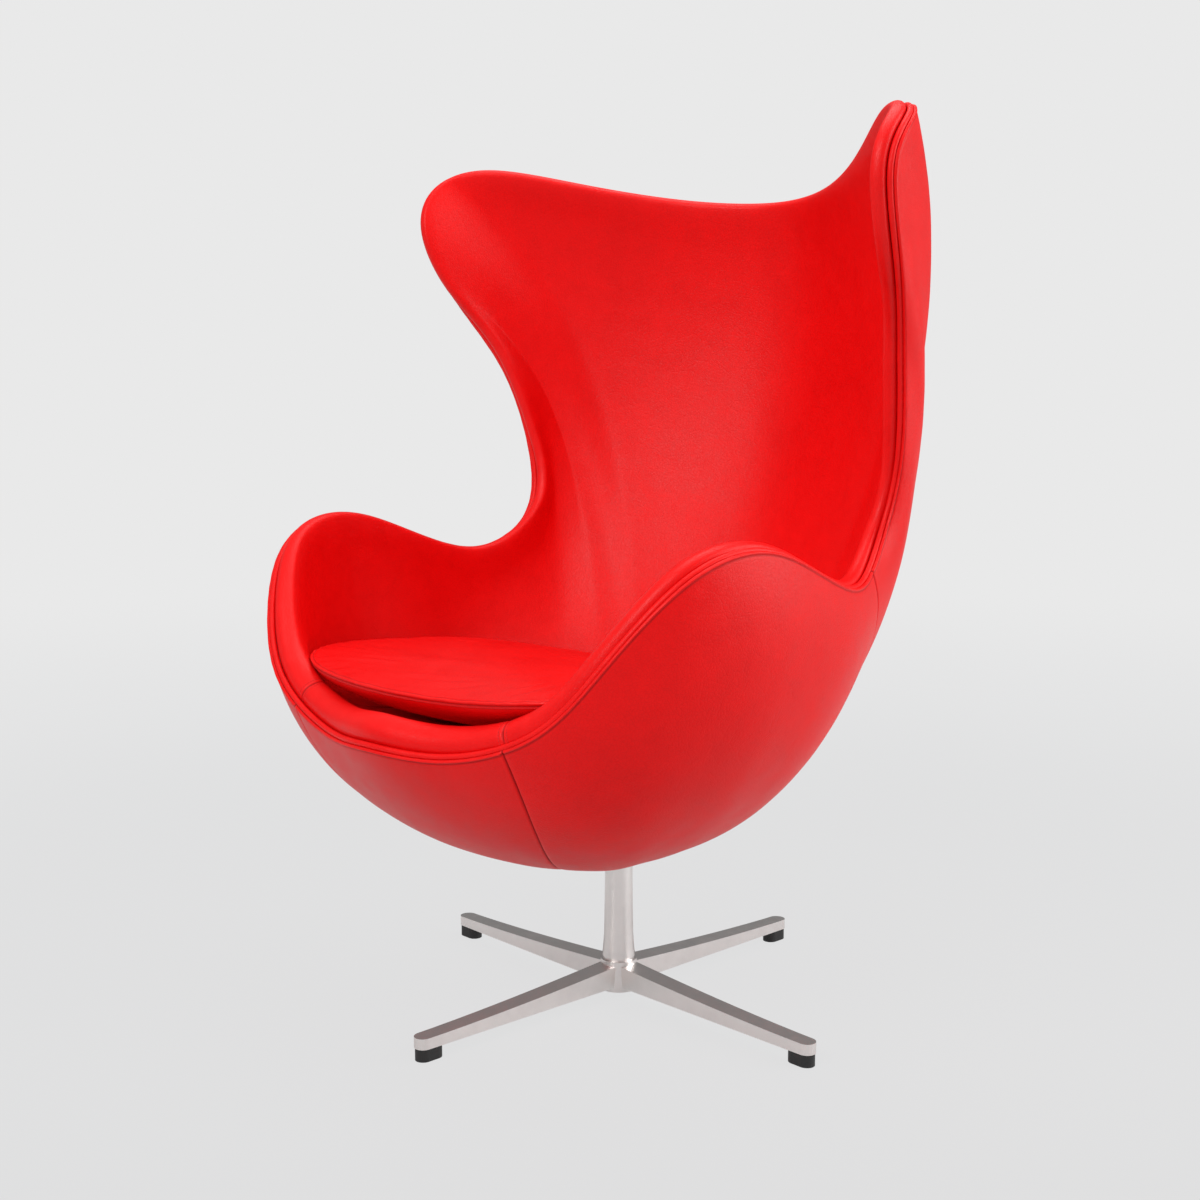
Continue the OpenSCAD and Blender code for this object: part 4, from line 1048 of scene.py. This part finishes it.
class SHELL_OT_cushion(bpy.types.Operator):
    """Fills the loose seat cushion and sews its edge"""

    bl_idname = "lounge_chair.cushion"
    bl_label = "Loose cushion"

    def execute(self, context):
        settings = context.scene.lounge_chair
        rings, seam_row, share = cushion_rings()
        columns = rings.shape[1]
        rings = rings + inflated(rings)
        normals = surface_normals(np.concatenate([rings[:, -1:], rings, rings[:, :1]], 1))[:, 1:-1]
        if normals[2, 0, 2] < 0:
            normals = -normals
        gaps = np.linalg.norm(np.diff(rings, axis=0), axis=-1)
        run = np.concatenate([np.zeros((1, columns)), np.cumsum(gaps, 0)])
        off = run - run[seam_row]
        top = off < 0
        waves = 0.5 * soft_waves(rings, 120, 71) + 0.25 * soft_waves(rings, 40, 72)
        rumples = settings.cushion.crease * 1000 * top_creases(share, seam_row)
        lift = ridges(off, SEAM_RIDGES) + rumples + waves * top * smooth_step((np.abs(off) - 6) / 20)
        flat = smooth_step((off - 60) / 30)
        rings = rings + normals * (lift * (1 - flat))[..., None]
        # Wear and painted highlight along the seam's ridge, and a faint painted light over the whole top.
        worn = 0.6 * hump(off, 2.2) + 0.12 * top
        # Painted shade in the grooves on both sides of the cushion's seam.
        folded = 0.8 * hump(off - 3.2, 0.8) + 0.6 * hump(off + 3.0, 0.8)
        piece = mesh_object("seat_cushion", *closed_stack(rings), {
            "worn": np.append(worn, [0.1, 0]), "folded": np.append(folded, [0, 0])})
        dress(piece, "cushion", red_leather(settings),
              ["cushion_top", "cushion_bottom", "cushion_core"])
        thread = rings + normals * 0.2
        line = [beside_seam(thread[:, j], off[:, j], 5.0) for j in range(columns)]
        SEWN_ROWS["cushion"] = [place(line + line[:1])]
        return {"FINISHED"}


class SHELL_OT_stitching(bpy.types.Operator):
    """Lays the rows of stitches beside the seams"""

    bl_idname = "lounge_chair.stitching"
    bl_label = "Stitching"

    def execute(self, context):
        sizes = context.scene.lounge_chair.stitches
        thread = waxed_thread("waxed_thread", sizes.colour)
        tree = path_tree("stitches_along_path", {
            "Pitch": sizes.pitch, "Stitch length": sizes.length,
            "Thread thickness": sizes.thickness}, "Pitch", stitch_shape)
        for body, name in (("shell", "seam_stitches"), ("cushion", "cushion_stitches")):
            if body not in SEWN_ROWS:
                raise RuntimeError("make the leather of the " + body + " first")
            piece = path_object(name, SEWN_ROWS[body])
            grown(piece, tree, thread)
            dress(piece, body, thread)
        return {"FINISHED"}


def make_spring(solid):
    """The tilt spring as a piece of its own, because it shortens as the shell leans back."""
    piece = linked("coil_spring", solid.data.copy())
    piece.matrix_world = solid.matrix_world.copy()
    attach(piece, "swivel")
    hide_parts("tilt_spring")
    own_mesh(piece)


class SHELL_OT_hard_parts(bpy.types.Operator):
    """Gives the base, the mechanism and the hidden hard parts their finishes"""

    bl_idname = "lounge_chair.hard_parts"
    bl_label = "Base and fittings"

    def execute(self, context):
        settings = context.scene.lounge_chair
        groups = (
            (satin_metal("satin_aluminium", settings.metal), "star_base column_tube hub_ring"),
            (plain_finish("zinc_plated_steel", (0.44, 0.45, 0.46), (0.62, 0.63, 0.65), 0.36, 1.0, 40.0, 0.1),
             "hub_washer hub_nut glide_screws spindle retaining_ring tilt_pin pin_clips tilt_spring "
             "spring_cup tension_screw block_inserts bracket_bolts"),
            (plain_finish("black_powder_coat", (0.012, 0.012, 0.013), (0.028, 0.028, 0.03),
                          0.52, 0.0, 260.0, 0.3),
             "tilt_yoke seat_bracket"),
            (plain_finish("black_plastic", (0.010, 0.010, 0.010), (0.022, 0.022, 0.022),
                          0.5, 0.0, 300.0, 0.15),
             "tension_knob glides well_liner underside_trim"),
            (plain_finish("bearing_plastic", (0.05, 0.05, 0.052), (0.09, 0.09, 0.09), 0.42, 0.0, 120.0, 0.08),
             "lower_bush upper_bush thrust_washer"),
            (plain_finish("hard_rubber", (0.010, 0.010, 0.010), (0.025, 0.024, 0.023), 0.78, 0.0, 90.0, 0.3),
             "stop_buffers"),
            (plywood("birch_plywood"), "mounting_block"),
            (plain_finish("moulded_shell", (0.24, 0.25, 0.24), (0.34, 0.35, 0.34), 0.7, 0.0, 80.0, 0.4),
             "shell_foot shell_core"))
        for material, names in groups:
            for name in names.split():
                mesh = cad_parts[name].data
                mesh.materials.clear()
                mesh.materials.append(material)
        make_spring(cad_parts["tilt_spring"])
        return {"FINISHED"}


class SHELL_OT_stage(bpy.types.Operator):
    """Sets the floor, the backdrop, the lamps and the camera"""

    bl_idname = "lounge_chair.stage"
    bl_label = "Studio"

    def execute(self, context):
        studio = context.scene.lounge_chair.studio
        scene = context.scene
        scene.view_settings.view_transform = "Standard"
        make_floor(studio)
        make_room(studio)
        make_lamps(studio)
        make_camera()
        return {"FINISHED"}


# ---------------------------------------------------------------- studio
WHITE = (1.0, 1.0, 1.0, 1)


def make_floor(studio):
    """A wide pale floor that keeps the chair's soft shadow and fades into the backdrop."""
    sides, radii = 64, [0.5 * 1.32 ** k for k in range(24)]
    angles = np.linspace(0, 2 * math.pi, sides + 1)[:-1]
    vertices = [(radius * math.cos(a), radius * math.sin(a), 0) for radius in radii for a in angles]
    faces = grid_faces(len(radii), sides, wrap=True, flip=True)
    faces += [[len(vertices), j, (j + 1) % sides] for j in range(sides)]
    floor = mesh_object("floor", vertices + [(0, 0, 0)], faces)
    r = Recipe("pale_floor")
    where = r.coordinates()
    far = r.vector("LENGTH", {0: where}, "Value")
    ahead = r.vector("DOT_PRODUCT", {0: where, 1: from_camera_side(0.0, 1.0, 0.0)}, "Value")
    shown = r.node("ShaderNodeLightPath", output="Is Camera Ray")
    glossy = r.node("ShaderNodeLightPath", output="Is Glossy Ray")
    tone = r.blend(far.between(0.9, 5.0), rgba(studio.floor), rgba(studio.backdrop))
    # Painted shade: the floor's tone is made darker towards the camera.
    tone = r.blend(ahead.between(0.1, 1.1), tone, rgba(studio.floor, 0.95))
    own = r.node("ShaderNodeEmission", None, {"Color": tone, "Strength": 1.0})
    matt = r.node("ShaderNodeBsdfPrincipled", None, {"Base Color": rgba(studio.floor, 0.6), "Roughness": 0.9})
    seen = (shown + glossy * 0.5).clamped() * (far.between(0.9, 2.4) * 0.07 + 0.93)
    r.finish(r.node("ShaderNodeMixShader", None, {0: seen, 1: matt, 2: own}))
    floor.data.materials.append(r.material)


def make_room(studio):
    """Even pale light from all round, dimmer in mirror images; the camera sees the backdrop's colour."""
    world = bpy.data.worlds.new("studio")
    bpy.context.scene.world = world
    world.use_nodes = True
    tree = world.node_tree
    tree.nodes.clear()

    def glow(colour, strength):
        inputs = {"Color": colour, "Strength": strength}
        return add_node(tree, "ShaderNodeBackground", None, inputs).outputs[0]

    rays = add_node(tree, "ShaderNodeLightPath").outputs
    light = glow(WHITE, studio.sky)
    for ray, other in (("Is Glossy Ray", glow(WHITE, studio.mirrored)),
                       ("Is Camera Ray", glow(rgba(studio.backdrop), 1.0))):
        light = add_node(tree, "ShaderNodeMixShader", None, {0: rays[ray], 1: light, 2: other}).outputs[0]
    add_node(tree, "ShaderNodeOutputWorld", None, {"Surface": light})


def area_lamp(name, where, size, power):
    data = bpy.data.lights.new(name, "AREA")
    data.shape = "RECTANGLE"
    data.size, data.size_y = size
    data.energy = power
    lamp = linked(name, data)
    lamp.location = where
    middle = Vector((AXIS.x, AXIS.y, 0.62))
    lamp.rotation_euler = (middle - Vector(where)).to_track_quat("-Z", "Y").to_euler()


CAMERA_TURN = math.radians(44.291)


def from_camera_side(right, ahead, height):
    """A place given by its distances to the camera's right, towards the camera and above the floor."""
    x = right * math.cos(CAMERA_TURN) + ahead * math.sin(CAMERA_TURN)
    y = right * math.sin(CAMERA_TURN) - ahead * math.cos(CAMERA_TURN)
    return (x + AXIS.x, y + AXIS.y, height)


def make_lamps(studio):
    area_lamp("key_lamp", from_camera_side(-1.6, 2.2, 2.3), (1.6, 1.6), studio.key)
    area_lamp("fill_lamp", from_camera_side(2.7, 0.35, 1.5), (2.2, 2.4), studio.fill)
    area_lamp("top_lamp", from_camera_side(0.2, -0.3, 3.0), (2.2, 2.2), studio.top)


def make_camera():
    """A camera in front of the chair's right arm, a little above its seat and looking slightly down."""
    data = bpy.data.cameras.new("camera")
    data.sensor_width = 36.0
    data.lens = 47.06
    data.clip_end = 200.0
    camera = linked("camera", data)
    distance, height = 1.9364, 0.7342
    pitch, pan = math.radians(6.7313), math.radians(-0.7041)
    ahead = (math.sin(pan) * math.cos(pitch), math.cos(pan) * math.cos(pitch), -math.sin(pitch))
    camera.location = from_camera_side(0.0, distance, height)
    c, s = math.cos(CAMERA_TURN), math.sin(CAMERA_TURN)
    forward = Vector((ahead[0] * c - ahead[1] * s, ahead[0] * s + ahead[1] * c, ahead[2]))
    camera.rotation_euler = forward.to_track_quat("-Z", "Y").to_euler()
    bpy.context.scene.camera = camera


class SHELL_PT_chair(bpy.types.Panel):
    """Lists the pieces of the chair and their settings"""

    bl_label = "Lounge chair"
    bl_idname = "SHELL_PT_chair"
    bl_space_type = "VIEW_3D"
    bl_region_type = "UI"
    bl_category = "Lounge chair"

    def draw(self, context):
        settings = context.scene.lounge_chair
        for label, group, operators in (
                ("Leather", settings.leather, (SHELL_OT_outer_leather, SHELL_OT_inner_leather)),
                ("Covers", settings.covers, (SHELL_OT_rim_welt,)),
                ("Cushion", settings.cushion, (SHELL_OT_cushion,)),
                ("Stitches", settings.stitches, (SHELL_OT_stitching,)),
                ("Metal", settings.metal, (SHELL_OT_hard_parts,)),
                ("Studio", settings.studio, (SHELL_OT_stage,))):
            box = self.layout.box()
            box.label(text=label)
            for key in group.__annotations__:
                box.prop(group, key)
            for operator in operators:
                box.operator(operator.bl_idname)


CLASSES = (LeatherLook, CoverSizes, StitchSizes, CushionForm, MetalLook, StudioLook, ChairSettings,
           SHELL_OT_outer_leather, SHELL_OT_inner_leather, SHELL_OT_rim_welt, SHELL_OT_cushion,
           SHELL_OT_stitching, SHELL_OT_hard_parts, SHELL_OT_stage, SHELL_PT_chair)


def register():
    for cls in CLASSES:
        bpy.utils.register_class(cls)
    bpy.types.Scene.lounge_chair = bpy.props.PointerProperty(type=ChairSettings)


def unregister():
    del bpy.types.Scene.lounge_chair
    for cls in reversed(CLASSES):
        bpy.utils.unregister_class(cls)


def main():
    register()
    make = bpy.ops.lounge_chair
    make.hard_parts()
    make.outer_leather()
    make.inner_leather()
    make.rim_welt()
    make.cushion()
    make.stitching()
    make.stage()


if __name__ == "__main__":
    main()
